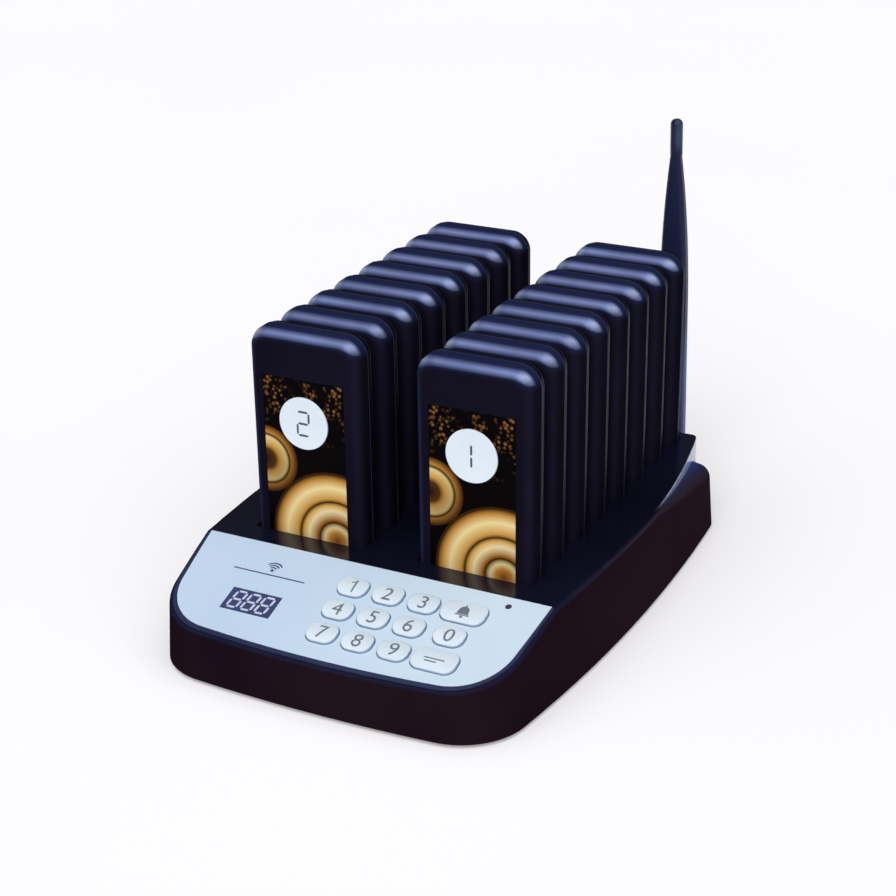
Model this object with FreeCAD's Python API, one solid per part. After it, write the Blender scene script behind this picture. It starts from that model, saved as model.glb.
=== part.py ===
"""Guest pager system: a counter-top charging base with a keypad and an antenna,
holding two rows of plug-in pagers.  One STEP file is written per piece.

Frame: millimetres, +X right, +Y to the rear, +Z up.  The origin is on the table,
in the middle of the object's length and width.
"""
import FreeCAD
import Part
import math
import os

V = FreeCAD.Vector

# ------------------------------------------------------------------ driving sizes
# Pagers
PAGER_ROWS = 8                # pagers in each of the two columns
PAGER_PITCH = 22.0            # from one pager to the one behind it
COLUMN_SPACING = 77.2         # between the centre lines of the columns
PAGER_WIDTH = 52.2
PAGER_HEIGHT = 104.0
FRONT_SHELL_DEPTH = 9.3
REAR_SHELL_DEPTH = 4.7
PAGER_CORNER_R = 9.5          # corners of the pager's outline
FRONT_EDGE_R = 5.6            # rounding between the pager's face and its sides
REAR_EDGE_R = 2.2
REAR_SHELL_INSET = 0.5        # step from the front shell's side to the rear shell's
PAGER_WALL = 2.0
LABEL_WIDTH = 38.5            # shallow bed for the picture film on the pager's face
LABEL_HEIGHT = 74.0
LABEL_TOP_MARGIN = 20.0
LABEL_BED_DEPTH = 0.3
PAGER_BOARD_INSET = 4.4       # from the pager's outline in to its board's edge
PAGER_BOARD_THICKNESS = 1.2
REAR_HOLLOW_INSET = 6.0       # and in to the hollow of its rear shell
CELL_SIZE = (34.0, 3.6, 50.0)
MOTOR_DIAMETER = 5.0
MOTOR_LENGTH = 12.0

# Base: outline seen from above, a margin round the field of pagers
PAGER_SETBACK = 67.9          # from the front edge to the first pager's face
REAR_MARGIN = 5.4             # from the last pager's back to the rear wall
SIDE_MARGIN = 23.5            # from the pagers' sides to the base's widest place
WIDEST_AHEAD = 105.3          # from the rear wall forward to the widest place
FENDER_END = 11.2             # the fenders end this far ahead of the rear wall
FRONT_BOW_R = 700.0           # the front edge bows forward
SIDE_FRONT_R = 800.0          # side bulge ahead of the widest place
SIDE_REAR_R = 1060.0          # and behind it
FRONT_CORNER_R = 29.0

# Base: heights and walls
FOOT_PROUD = 1.5              # the feet lift the case off the table by this
CASE_HEIGHT = 38.7
CASE_DRAFT = 2.4              # the walls lean in by this over the case's height
CASE_WALL = 3.0
DECK_THICKNESS = 2.6
SHOULDER_R = 2.0              # rounded edge round the panel and the deck
FENDER_R = 6.5                # the fenders' outer edge is rounded up to this at the rear end
FENDER_REAR_R = 1.6           # rounding across their rear end
FENDER_RUN = 76.6             # length of the part of the fenders that is lower than the deck
FENDER_FALL = 0.122           # they fall this much per length towards the rear
FENDER_CAMBER = 0.18          # and this much per width towards the outside
CORE_FRONT_INSET = 7.6        # from the widest place in to the raised deck's front end
CORE_INSET = 4.4              # and to the deck where the fenders start
CORE_TAIL_INSET = 17.6        # and at the deck's rear end
CORE_TAIL_BULGE = 2.0         # how far the tail's side bows out
CORE_CORNER_R = 3.0

# Keypad panel: x across, s down the slope from the panel's rear edge
PANEL_SETBACK = 55.6          # from the front edge back to the panel's rear edge
PANEL_SLOPE = 18.2            # degrees
PANEL_INSET = 4.8             # from the case's foot outline in to the panel's edge
PANEL_THICKNESS = 1.2
PANEL_CLEARANCE = 0.15
SLOPE_WALL = 3.0
DECK_EDGE_R = 0.7
WIDE_KEY_INSET = 40.8         # from the widest place in to the call, zero and clear keys
FIRST_COLUMN_OFFSET = 50.1    # from those keys left to the first column of digit keys
KEY_COLUMN_PITCH = 16.1
KEY_ROW_S = 13.6
KEY_ROW_PITCH = 13.4
KEY_WIDTH = 13.3
KEY_DEPTH = 10.4
KEY_CORNER_R = 4.4
WIDE_KEY_WIDTH = 19.4
WIDE_KEY_DEPTH = 11.4
KEY_PROUD = 1.4               # cap above the panel
KEY_CROWN = 0.7               # fall from the cap's ridge to its front and rear edge
KEY_EDGE_R = 0.5
KEY_TRAVEL = 1.2
KEY_CLEARANCE = 0.3           # cap to panel, flange to panel
KEY_FLANGE = 0.9              # the flange that keeps the cap in, at its front and rear
KEY_SIDE_FLANGE = 0.5         # and at its sides
KEY_FLANGE_THICKNESS = 1.0
KEY_SKIRT = 1.6               # below the flange
DOME_DIAMETER = 6.0
DOME_HEIGHT = 1.0
DOME_GAP = 0.15               # pressed key to dome
MAT_THICKNESS = 1.0
MAT_MARGIN = 0.9              # round the field of keys
DISPLAY_INSET = 48.0          # from the widest place in to the display's centre
DISPLAY_S = 33.5
DISPLAY_WIDTH = 23.0
DISPLAY_DEPTH = 12.0
DISPLAY_LEDGE = 1.2           # the window rests on this much of the wall all round
DISPLAY_MODULE_MARGIN = 0.8   # module beyond the window, all round
DISPLAY_MODULE_GAP = 0.2      # module to the wall above it
LED_INSET = 25.5
LED_S = 4.9
LED_DIAMETER = 2.4
LED_FLANGE = 0.4
MAIN_BOARD_LEFT_INSET = 28.2
MAIN_BOARD_RIGHT_INSET = 22.7
MAIN_BOARD_REAR_S = 2.6
MAIN_BOARD_FRONT_S = 48.0
BOARD_THICKNESS = 1.6
MAIN_BOARD_SCREW_INSET = 3.6  # from the board's ends
MAIN_BOARD_SCREW_S = (13.5, 43.5)
BUZZER_DIAMETER = 12.0
BUZZER_HEIGHT = 4.0
RADIO_SIZE = (18.0, 14.0, 2.6)

# Slots and charging
SLOT_DEPTH = 13.2
SLOT_CLEARANCE = 0.4
SLOT_CORNER_R = 2.0
WELL_WALL = 1.6
SEAT_GAP = 0.1                # pager's foot to the slot's floor
CONTACT_WINDOW = (20.0, 6.0)  # opening in the slot's floor
CONTACT_SPACING = 10.0
CONTACT_WIDTH = 3.0
CONTACT_THICKNESS = 0.5
CONTACT_FOOT = 3.0
CONTACT_GAP = 0.1             # contact tip to the pager's foot
CHARGE_BOARD_TOP = 17.6       # height above the table
CHARGE_BOARD_MARGIN = 5.0     # round the field of contacts
CHARGE_SCREW_X = 20.0

# Screws, bosses, floor and feet
SCREW_DIAMETER = 3.0
SCREW_LENGTH = 6.0
SCREW_HEAD_DIAMETER = 5.6
SCREW_HEAD_HEIGHT = 1.8
SCREW_CLEARANCE = 0.1
BOSS_DIAMETER = 6.6
SIDE_BOSS_INSET = 13.6        # from the widest place in to the bosses beside the slots
SIDE_BOSS_AHEAD = (36.3, 161.3)   # from the rear wall
FRONT_BOSS_INSET = 18.2
FRONT_BOSS_SETBACK = 30.0
FLOOR_THICKNESS = 2.6
FLOOR_CLEARANCE = 0.3
FLOOR_LIP_HEIGHT = 2.5
FLOOR_LIP_WALL = 1.6
FLOOR_PILLAR_HEIGHT = 3.0
FLOOR_PILLAR_DIAMETER = 9.6
SCREW_RECESS_DEPTH = 3.4
VENT_COUNT = 7
VENT_PITCH = 7.0
VENT_LENGTH = 44.0
VENT_WIDTH = 2.4
FOOT_DIAMETER = 13.0
FOOT_TAPER = 0.8
FOOT_RECESS = 1.0
FOOT_INSET = 28.2             # from the widest place
FRONT_FOOT_SETBACK = 18.0
REAR_FOOT_AHEAD = 29.3        # from the rear wall

# Rear wall: power inlet and antenna
JACK_INSET = 48.2             # from the widest place on the left
JACK_BODY = (9.0, 14.0, 11.0)
JACK_GAP = 0.2                # jack body to the rear wall
JACK_BORE_DIAMETER = 6.3
JACK_BORE_DEPTH = 11.0
JACK_PIN_DIAMETER = 2.0
JACK_NOSE_DIAMETER = 8.6
ANTENNA_INSET = 34.3          # from the widest place on the right
ANTENNA_Z = 18.0
ANTENNA_LEAN = 1.1            # degrees, tip towards the left
CONNECTOR_THREAD_DIAMETER = 6.35
CONNECTOR_REACH = 7.5
CONNECTOR_NUT_ACROSS = 8.0
CONNECTOR_NUT_THICKNESS = 2.0
CONNECTOR_FLANGE_DIAMETER = 9.0
CONNECTOR_CLEARANCE = 0.05    # thread to the knuckle's bore
ANTENNA_AXIS_OFFSET = 11.6    # rear wall to the blade's middle
KNUCKLE_DIAMETER = 9.6
KNUCKLE_GAP = 0.4             # knuckle to the nut on the rear wall
FORK_WIDTH = 12.6
FORK_SLOT = 5.4
FORK_HEIGHT = 11.0            # from the connector's axis up to the fold pin
FORK_PIN_DIAMETER = 2.6
FORK_CLEARANCE = 0.3
PIN_CLEARANCE = 0.05
BLADE_WIDTH = 13.0
BLADE_THICKNESS = 7.2
BLADE_START = 5.3             # above the fold pin
BLADE_TAPER_START = 84.0      # above the connector's axis
BLADE_TOP = 152.5
BLADE_NECK_WIDTH = 4.9
BLADE_ROUNDING = 0.36         # edge radius as a part of the thickness
BLADE_SECTIONS = 6            # along the taper
TIP_DIAMETER = 5.6
TIP_LENGTH = 16.5

# ------------------------------------------------------------------ worked-out places
PAGER_DEPTH = FRONT_SHELL_DEPTH + REAR_SHELL_DEPTH
BASE_LENGTH = PAGER_SETBACK + (PAGER_ROWS - 1) * PAGER_PITCH + PAGER_DEPTH + REAR_MARGIN
HALF_WIDTH = COLUMN_SPACING / 2 + PAGER_WIDTH / 2 + SIDE_MARGIN
ANTENNA_REACH = ANTENNA_AXIS_OFFSET + KNUCKLE_DIAMETER / 2
FRONT_Y = -(BASE_LENGTH + ANTENNA_REACH) / 2
REAR_Y = FRONT_Y + BASE_LENGTH
WIDEST_Y = REAR_Y - WIDEST_AHEAD
FENDER_REAR_Y = REAR_Y - FENDER_END
FENDER_START_Y = FENDER_REAR_Y - FENDER_RUN
CORE_FRONT_HALF_WIDTH = HALF_WIDTH - CORE_FRONT_INSET
CORE_HALF_WIDTH = HALF_WIDTH - CORE_INSET
CORE_TAIL_HALF_WIDTH = HALF_WIDTH - CORE_TAIL_INSET
WIDE_KEY_X = HALF_WIDTH - WIDE_KEY_INSET
KEY_COLUMN_X = WIDE_KEY_X - FIRST_COLUMN_OFFSET
DISPLAY_X = DISPLAY_INSET - HALF_WIDTH
LED_X = HALF_WIDTH - LED_INSET
MAIN_BOARD_LEFT = MAIN_BOARD_LEFT_INSET - HALF_WIDTH
MAIN_BOARD_RIGHT = HALF_WIDTH - MAIN_BOARD_RIGHT_INSET
JACK_X = JACK_INSET - HALF_WIDTH
ANTENNA_X = HALF_WIDTH - ANTENNA_INSET
CASE_BOTTOM = FOOT_PROUD
DECK_Z = FOOT_PROUD + CASE_HEIGHT
PANEL_REAR_Y = FRONT_Y + PANEL_SETBACK
SLOPE = math.radians(PANEL_SLOPE)
FIRST_PAGER_Y = FRONT_Y + PAGER_SETBACK
SLOT_FLOOR_Z = DECK_Z - SLOT_DEPTH
PAGER_FOOT_Z = SLOT_FLOOR_Z + SEAT_GAP
WELL_BOTTOM_Z = SLOT_FLOOR_Z - WELL_WALL
FLOOR_TOP = CASE_BOTTOM + FLOOR_THICKNESS
KEY_FLANGE_TOP = PANEL_THICKNESS + KEY_CLEARANCE
KEY_BOTTOM = KEY_FLANGE_TOP + KEY_FLANGE_THICKNESS + KEY_SKIRT
DOME_TOP = KEY_BOTTOM + KEY_TRAVEL + DOME_GAP
MAT_TOP = DOME_TOP + DOME_HEIGHT
MAIN_BOARD_TOP = MAT_TOP + MAT_THICKNESS
MAIN_BOARD_BOTTOM = MAIN_BOARD_TOP + BOARD_THICKNESS
BIG = 400.0                   # reaches past the whole object


# ------------------------------------------------------------------ small helpers
def box(x_range, y_range, z_range):
    """Box from three (low, high) pairs."""
    size = [high - low for low, high in (x_range, y_range, z_range)]
    return Part.makeBox(*size, V(x_range[0], y_range[0], z_range[0]))


def fuse(shapes):
    """One clean solid from touching or overlapping solids."""
    return shapes[0].multiFuse(shapes[1:]).removeSplitter()


def cut(shape, tools):
    """The shape without the tools, which may overlap."""
    return shape.cut(tools)


def mirrored(shape):
    """Mirror image across the middle plane X = 0."""
    return shape.mirror(V(0, 0, 0), V(1, 0, 0))


def rounded_prism(width, depth, radius, low, high):
    """Upright prism, a width by depth rectangle with round corners, centred on the origin."""
    prism = box((-width / 2, width / 2), (-depth / 2, depth / 2), (low, high))
    upright = [edge for edge in prism.Edges if edge.tangentAt(edge.FirstParameter).z ** 2 > 0.99]
    return prism.makeFillet(min(radius, width / 2 - 0.1, depth / 2 - 0.1), upright)


def circles_meet(centre_a, radius_a, centre_b, radius_b):
    """The crossing of two circles that lies towards +X and the front."""
    line = centre_b - centre_a
    gap = line.Length
    along = (gap ** 2 + radius_a ** 2 - radius_b ** 2) / (2 * gap)
    across = math.sqrt(radius_a ** 2 - along ** 2)
    unit = line / gap
    foot = centre_a + unit * along
    options = [foot + V(-unit.y, unit.x, 0) * side * across for side in (-1, 1)]
    return min(options, key=lambda point: point.y - point.x)


def arc(start, middle, end):
    return Part.Arc(start, middle, end).toShape()


def on_panel(shape):
    """Moves a shape from panel coordinates into place.

    Panel coordinates: x across, y up the slope (y = -s), z out of the panel.
    """
    moved = shape.copy()
    moved.Placement = FreeCAD.Placement(
        V(0, PANEL_REAR_Y, DECK_Z), FreeCAD.Rotation(V(1, 0, 0), PANEL_SLOPE)
    ).multiply(moved.Placement)
    return moved


def slope_slab(top, bottom):
    """Slab under the panel's plane, from one depth below it to another."""
    return on_panel(box((-BIG, BIG), (-BIG, BIG), (-bottom, -top)))


# ------------------------------------------------------------------ base outline
def foot_outline(inset, height):
    """The case's outline seen from above, moved in by inset, as a closed wire."""
    front_centre = V(0, FRONT_Y + FRONT_BOW_R, 0)
    front_radius = FRONT_BOW_R - inset
    side_centre = V(HALF_WIDTH - SIDE_FRONT_R, WIDEST_Y, 0)
    side_radius = SIDE_FRONT_R - inset
    corner_radius = FRONT_CORNER_R - inset
    corner = circles_meet(front_centre, front_radius - corner_radius,
                          side_centre, side_radius - corner_radius)
    front_end = front_centre + (corner - front_centre).normalize() * front_radius
    side_start = side_centre + (corner - side_centre).normalize() * side_radius
    corner_middle = corner + (front_end + side_start - corner * 2).normalize() * corner_radius
    widest = V(HALF_WIDTH - inset, WIDEST_Y, 0)
    rear_centre = V(HALF_WIDTH - SIDE_REAR_R, WIDEST_Y, 0)
    rear_radius = SIDE_REAR_R - inset
    rear_y = FENDER_REAR_Y - inset

    def side_point(centre, radius, y):
        return V(centre.x + math.sqrt(radius ** 2 - (y - centre.y) ** 2), y, 0)

    rear_corner = side_point(rear_centre, rear_radius, rear_y)
    right = [
        arc(front_end, corner_middle, side_start),
        arc(side_start, side_point(side_centre, side_radius, (side_start.y + WIDEST_Y) / 2), widest),
        arc(widest, side_point(rear_centre, rear_radius, (rear_y + WIDEST_Y) / 2), rear_corner),
    ]
    left = [mirrored(edge) for edge in reversed(right)]
    front = arc(V(-front_end.x, front_end.y, 0), V(0, FRONT_Y + inset, 0), front_end)
    rear = Part.makeLine(rear_corner, V(-rear_corner.x, rear_corner.y, 0))
    wire = Part.Wire(Part.__sortEdges__([front] + right + [rear] + left))
    wire.translate(V(0, 0, height))
    return wire


def core_outline(inset, height):
    """The raised deck's outline beside and behind the fenders, as a closed wire."""
    start_y = FRONT_Y + PAGER_SETBACK + inset
    rear_y = REAR_Y - inset
    half = CORE_HALF_WIDTH - inset
    front_half = CORE_FRONT_HALF_WIDTH - inset
    tail = CORE_TAIL_HALF_WIDTH - inset
    middle = V((half + tail) / 2 + CORE_TAIL_BULGE, (FENDER_START_Y + rear_y) / 2, 0)
    right = [
        Part.makeLine(V(front_half, start_y, 0), V(half, FENDER_START_Y, 0)),
        arc(V(half, FENDER_START_Y, 0), middle, V(tail, rear_y, 0)),
    ]
    left = [mirrored(edge) for edge in reversed(right)]
    front = Part.makeLine(V(-front_half, start_y, 0), V(front_half, start_y, 0))
    rear = Part.makeLine(V(tail, rear_y, 0), V(-tail, rear_y, 0))
    wire = Part.Wire(Part.__sortEdges__([front] + right + [rear] + left))
    wire.translate(V(0, 0, height))
    return wire


def fender_tool(drop):
    """What is taken off the case above the fenders' slanted tops, as two solids."""
    end_y = FENDER_REAR_Y + 2 * CASE_WALL

    def top_point(x, y):
        fall = FENDER_FALL * (y - FENDER_START_Y) + FENDER_CAMBER * (x - CORE_HALF_WIDTH)
        return V(x, y, DECK_Z - drop - fall)

    corners = [top_point(0, 0), top_point(HALF_WIDTH + CASE_WALL, 0),
               top_point(HALF_WIDTH + CASE_WALL, end_y), top_point(0, end_y)]
    tool = Part.Face(Part.makePolygon(corners + corners[:1])).extrude(V(0, 0, CASE_HEIGHT))
    return [tool, mirrored(tool)]


def case_form(inset, drop, slope_drop):
    """The case without its core: a drafted body, sloped at the front, low at the fenders."""
    draft = CASE_DRAFT * (CASE_HEIGHT - drop) / CASE_HEIGHT
    body = Part.makeLoft([foot_outline(inset, CASE_BOTTOM), foot_outline(inset + draft, DECK_Z - drop)],
                         True, True)
    above_slope = on_panel(box((-BIG, BIG), (-BIG, BIG), (-slope_drop, BIG)))
    ahead = box((-BIG, BIG), (FRONT_Y - BIG, PANEL_REAR_Y + BIG), (-BIG, BIG))
    body = body.cut(above_slope.common(ahead))
    return cut(body, fender_tool(drop))


def core_form(inset, drop):
    """The raised core that carries the deck and reaches back to the rear wall."""
    face = Part.Face(core_outline(inset, CASE_BOTTOM))
    return face.extrude(V(0, 0, CASE_HEIGHT - drop))


# ------------------------------------------------------------------ places that repeat
def slots():
    """Every slot as (pager number, centre x, front face y); odd numbers stand on the right."""
    places = []
    for row in range(PAGER_ROWS):
        for side in (1, -1):
            number = 2 * row + (1 if side > 0 else 2)
            places.append((number, side * COLUMN_SPACING / 2, FIRST_PAGER_Y + row * PAGER_PITCH))
    return places


def keys():
    """Every key as (name, x, s, width, depth)."""
    layout = (("1", "2", "3", "call"), ("4", "5", "6", "0"), ("7", "8", "9", "clear"))
    places = []
    for row, names in enumerate(layout):
        s = KEY_ROW_S + row * KEY_ROW_PITCH
        for column, name in enumerate(names):
            wide = not name.isdigit()
            x = WIDE_KEY_X if column == 3 else KEY_COLUMN_X + column * KEY_COLUMN_PITCH
            size = (WIDE_KEY_WIDTH, WIDE_KEY_DEPTH) if wide else (KEY_WIDTH, KEY_DEPTH)
            places.append((name, x, s) + size)
    return places


def key_field(margin):
    """The rectangle round all the keys' flanges: (low x, high x), (low y, high y) on the panel."""
    grow = KEY_FLANGE + margin
    low_x = min(x - width / 2 for _, x, _, width, _ in keys()) - grow
    high_x = max(x + width / 2 for _, x, _, width, _ in keys()) + grow
    low_s = min(s - depth / 2 for _, _, s, _, depth in keys()) - grow
    high_s = max(s + depth / 2 for _, _, s, _, depth in keys()) + grow
    return (low_x, high_x), (-high_s, -low_s)


def display_rectangle(grow):
    """The display window's rectangle on the panel, made larger all round by grow."""
    half_width = DISPLAY_WIDTH / 2 + grow
    half_depth = DISPLAY_DEPTH / 2 + grow
    return ((DISPLAY_X - half_width, DISPLAY_X + half_width),
            (-DISPLAY_S - half_depth, -DISPLAY_S + half_depth))


def main_board_screws():
    """Screw places of the keypad board, as (x, y) on the panel."""
    ends = (MAIN_BOARD_LEFT + MAIN_BOARD_SCREW_INSET, MAIN_BOARD_RIGHT - MAIN_BOARD_SCREW_INSET)
    return [(x, -s) for x in ends for s in MAIN_BOARD_SCREW_S]


def charge_board_screws():
    """Screw places of the charging board, under the first and the last slots."""
    last_row = (PAGER_ROWS - 1) * PAGER_PITCH
    rows = [FIRST_PAGER_Y + PAGER_DEPTH / 2 + step for step in (0, last_row)]
    return [(side * CHARGE_SCREW_X, y) for side in (-1, 1) for y in rows]


def case_screws():
    """Screw places of the floor."""
    side = [(HALF_WIDTH - SIDE_BOSS_INSET, REAR_Y - ahead) for ahead in SIDE_BOSS_AHEAD]
    places = side + [(HALF_WIDTH - FRONT_BOSS_INSET, FRONT_Y + FRONT_BOSS_SETBACK)]
    return [(sign * x, y) for sign in (-1, 1) for x, y in places]


def cylinder(diameter, x, y, low, high):
    """Upright cylinder."""
    return Part.makeCylinder(diameter / 2, high - low, V(x, y, low))


# ------------------------------------------------------------------ top housing
def shoulder_edges(form):
    """The edges between a case form's top and its walls, at both sides and the front."""
    return [edge for edge in form.Edges
            if edge.BoundBox.ZMin > CASE_BOTTOM + 1 and edge.BoundBox.YLength > 0.01
            and (abs(edge.CenterOfMass.x) > CORE_TAIL_HALF_WIDTH
                 or edge.CenterOfMass.y < PANEL_REAR_Y - PANEL_SETBACK / 2)]


def fender_edge(form, side):
    """The outer edge of one fender's top."""
    return [edge for edge in shoulder_edges(form)
            if edge.CenterOfMass.x * side > 0 and edge.CenterOfMass.y > FENDER_START_Y
            and edge.Length > FENDER_RUN / 2][0]


def rounded_case():
    """The case form with its shoulder rounded, ever more along the fenders."""
    form = case_form(0, 0, 0)
    for side in (-1, 1):
        edge = fender_edge(form, side)
        first, last = [vertex.Point.y for vertex in edge.Vertexes]
        start_r, end_r = sorted((SHOULDER_R, FENDER_R), reverse=first > last)
        form = form.makeFillet(start_r, end_r, [edge])
    form = form.makeFillet(SHOULDER_R, [edge for edge in shoulder_edges(form)
                                        if edge.CenterOfMass.y < FENDER_START_Y])
    rear = [edge for edge in form.Edges
            if edge.BoundBox.ZMin > DECK_Z / 2 and edge.BoundBox.YMin > FENDER_REAR_Y - SHOULDER_R
            and edge.BoundBox.YLength < SHOULDER_R]
    return form.makeFillet(FENDER_REAR_R, rear)


def rounded_core():
    """The core with its upright rear corners and its deck edge eased."""
    form = core_form(0, 0)
    corners = [edge for edge in form.Edges
               if edge.BoundBox.ZLength > CASE_HEIGHT / 2 and edge.CenterOfMass.y > REAR_Y - 0.01]
    form = form.makeFillet(CORE_CORNER_R, corners)
    deck_edge = [edge for edge in form.Edges
                 if edge.BoundBox.ZMin > DECK_Z - 0.01 and edge.BoundBox.YMax > FENDER_START_Y + 1]
    return form.makeFillet(DECK_EDGE_R, deck_edge)


def slot_prism(x, front_y, grow, low, high):
    """Upright prism round one slot, larger than the slot all round by grow."""
    margin = 2 * (SLOT_CLEARANCE + grow)
    prism = rounded_prism(PAGER_WIDTH + margin, PAGER_DEPTH + margin, SLOT_CORNER_R + grow, low, high)
    prism.translate(V(x, front_y + PAGER_DEPTH / 2, 0))
    return prism


def contact_window(x, front_y):
    """Opening in a slot's floor for its two charging contacts."""
    width, depth = CONTACT_WINDOW
    middle_y = front_y + PAGER_DEPTH / 2
    return box((x - width / 2, x + width / 2), (middle_y - depth / 2, middle_y + depth / 2),
               (WELL_BOTTOM_Z - 1, SLOT_FLOOR_Z + 1))


def housing_bosses(outer):
    """Screw bosses under the roof, cut to the outside of the case."""
    boss_foot = FLOOR_TOP + FLOOR_PILLAR_HEIGHT
    case_bosses = [cylinder(BOSS_DIAMETER, x, y, boss_foot, DECK_Z) for x, y in case_screws()]
    board_bosses = [on_panel(cylinder(BOSS_DIAMETER, x, y, -MAIN_BOARD_TOP, 0))
                    for x, y in main_board_screws()]
    charge_bosses = [cylinder(BOSS_DIAMETER, x, y, CHARGE_BOARD_TOP, SLOT_FLOOR_Z)
                     for x, y in charge_board_screws()]
    inside = outer.common(Part.makeCompound(case_bosses + board_bosses))
    return inside.Solids + charge_bosses


def screw_hole(x, y, low, depth):
    """Pilot hole upwards from low."""
    return cylinder(SCREW_DIAMETER + 2 * SCREW_CLEARANCE, x, y, low - 0.01, low + depth)


def pilot_holes():
    """Every screw's hole in the top housing."""
    pilot = SCREW_LENGTH + SCREW_CLEARANCE
    head_seat = CASE_BOTTOM + SCREW_RECESS_DEPTH
    case_holes = [screw_hole(x, y, head_seat, pilot) for x, y in case_screws()]
    board_holes = [on_panel(screw_hole(x, y, -MAIN_BOARD_BOTTOM, pilot)) for x, y in main_board_screws()]
    charge_holes = [screw_hole(x, y, CHARGE_BOARD_TOP - BOARD_THICKNESS, pilot)
                    for x, y in charge_board_screws()]
    return case_holes + board_holes + charge_holes


def panel_recess():
    """Bed of the face panel, and the openings behind its keys, window and lamp."""
    bed_outline = Part.Face(foot_outline(PANEL_INSET - PANEL_CLEARANCE, CASE_BOTTOM))
    bed = bed_outline.extrude(V(0, 0, CASE_HEIGHT)).common(slope_slab(-1, PANEL_THICKNESS))
    bed = bed.common(box((-BIG, BIG), (FRONT_Y, PANEL_REAR_Y + PANEL_CLEARANCE), (0, BIG)))
    key_x, key_y = key_field(KEY_CLEARANCE)
    window_x, window_y = display_rectangle(-DISPLAY_LEDGE)
    through = (-SLOPE_WALL - 1, 0)
    openings = [on_panel(box(key_x, key_y, through)), on_panel(box(window_x, window_y, through))]
    lamp = cylinder(LED_DIAMETER + 2 * (LED_FLANGE + PANEL_CLEARANCE), LED_X, -LED_S, *through)
    return [bed, on_panel(lamp)] + openings


def rear_wall_holes():
    """Holes for the power jack's nose and the antenna connector."""
    clearance = 2 * PANEL_CLEARANCE
    nose = Part.makeCylinder((JACK_NOSE_DIAMETER + clearance) / 2, CASE_WALL + 2,
                             V(JACK_X, REAR_Y - CASE_WALL - 1, jack_z()), V(0, 1, 0))
    thread = Part.makeCylinder((CONNECTOR_THREAD_DIAMETER + clearance) / 2, CASE_WALL + 2,
                               V(ANTENNA_X, REAR_Y - CASE_WALL - 1, ANTENNA_Z), V(0, 1, 0))
    return [nose, thread]


def top_housing():
    outer = fuse([rounded_case(), rounded_core()])
    cavity = case_form(CASE_WALL, DECK_THICKNESS, SLOPE_WALL).fuse(core_form(CASE_WALL, DECK_THICKNESS))
    wells = [slot_prism(x, y, WELL_WALL, WELL_BOTTOM_Z, DECK_Z - DECK_THICKNESS / 2) for _, x, y in slots()]
    housing = outer.cut(cavity)
    housing = fuse([housing] + wells + housing_bosses(outer))
    pockets = [slot_prism(x, y, 0, SLOT_FLOOR_Z, DECK_Z + 1) for _, x, y in slots()]
    windows = [contact_window(x, y) for _, x, y in slots()]
    return cut(housing, pockets + windows + pilot_holes() + panel_recess() + rear_wall_holes())


# ------------------------------------------------------------------ floor and feet
def floor_slab(inset, low, high):
    """Slab that fills the case's outline, moved in from it by inset."""
    case_part = Part.Face(foot_outline(inset, low)).extrude(V(0, 0, high - low))
    core_part = Part.Face(core_outline(inset, low)).extrude(V(0, 0, high - low))
    return case_part.fuse(core_part).removeSplitter()


def foot_places():
    foot_x = HALF_WIDTH - FOOT_INSET
    rows = (FRONT_Y + FRONT_FOOT_SETBACK, REAR_Y - REAR_FOOT_AHEAD)
    return [(side * foot_x, y) for side in (-1, 1) for y in rows]


def bottom_housing():
    edge = CASE_WALL + FLOOR_CLEARANCE
    lip_edge = edge + FLOOR_CLEARANCE
    slab = floor_slab(edge, CASE_BOTTOM, FLOOR_TOP)
    lip = floor_slab(lip_edge, FLOOR_TOP, FLOOR_TOP + FLOOR_LIP_HEIGHT)
    lip = lip.cut(floor_slab(lip_edge + FLOOR_LIP_WALL, FLOOR_TOP - 1, FLOOR_TOP + FLOOR_LIP_HEIGHT + 1))
    pillar_top = FLOOR_TOP + FLOOR_PILLAR_HEIGHT
    pillars = [cylinder(FLOOR_PILLAR_DIAMETER, x, y, CASE_BOTTOM, pillar_top) for x, y in case_screws()]
    floor = fuse([slab, lip] + pillars)
    head_space = SCREW_HEAD_DIAMETER + 4 * SCREW_CLEARANCE
    recesses = [cylinder(head_space, x, y, CASE_BOTTOM - 1, CASE_BOTTOM + SCREW_RECESS_DEPTH)
                for x, y in case_screws()]
    holes = [cylinder(SCREW_DIAMETER + 4 * SCREW_CLEARANCE, x, y, CASE_BOTTOM, pillar_top + 1)
             for x, y in case_screws()]
    bed_diameter = FOOT_DIAMETER + 2 * FLOOR_CLEARANCE
    foot_beds = [cylinder(bed_diameter, x, y, CASE_BOTTOM - 1, CASE_BOTTOM + FOOT_RECESS)
                 for x, y in foot_places()]
    jack_x, jack_y, _ = jack_box(1.0)
    jack_bay = box(jack_x, jack_y, (FLOOR_TOP, FLOOR_TOP + FLOOR_LIP_HEIGHT + 1))
    middle_y = (FRONT_Y + REAR_Y) / 2
    vents = []
    for index in range(VENT_COUNT):
        y = middle_y + (index - (VENT_COUNT - 1) / 2) * VENT_PITCH
        vents.append(box((-VENT_LENGTH / 2, VENT_LENGTH / 2), (y - VENT_WIDTH / 2, y + VENT_WIDTH / 2),
                         (CASE_BOTTOM - 1, FLOOR_TOP + 1)))
    return cut(floor, recesses + holes + foot_beds + vents + [jack_bay])


def rubber_feet():
    """Four tapered pads in the floor's beds."""
    top_r = FOOT_DIAMETER / 2
    height = CASE_BOTTOM + FOOT_RECESS
    pads = [Part.makeCone(top_r - FOOT_TAPER, top_r, height, V(x, y, 0)) for x, y in foot_places()]
    return Part.makeCompound(pads)


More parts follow.
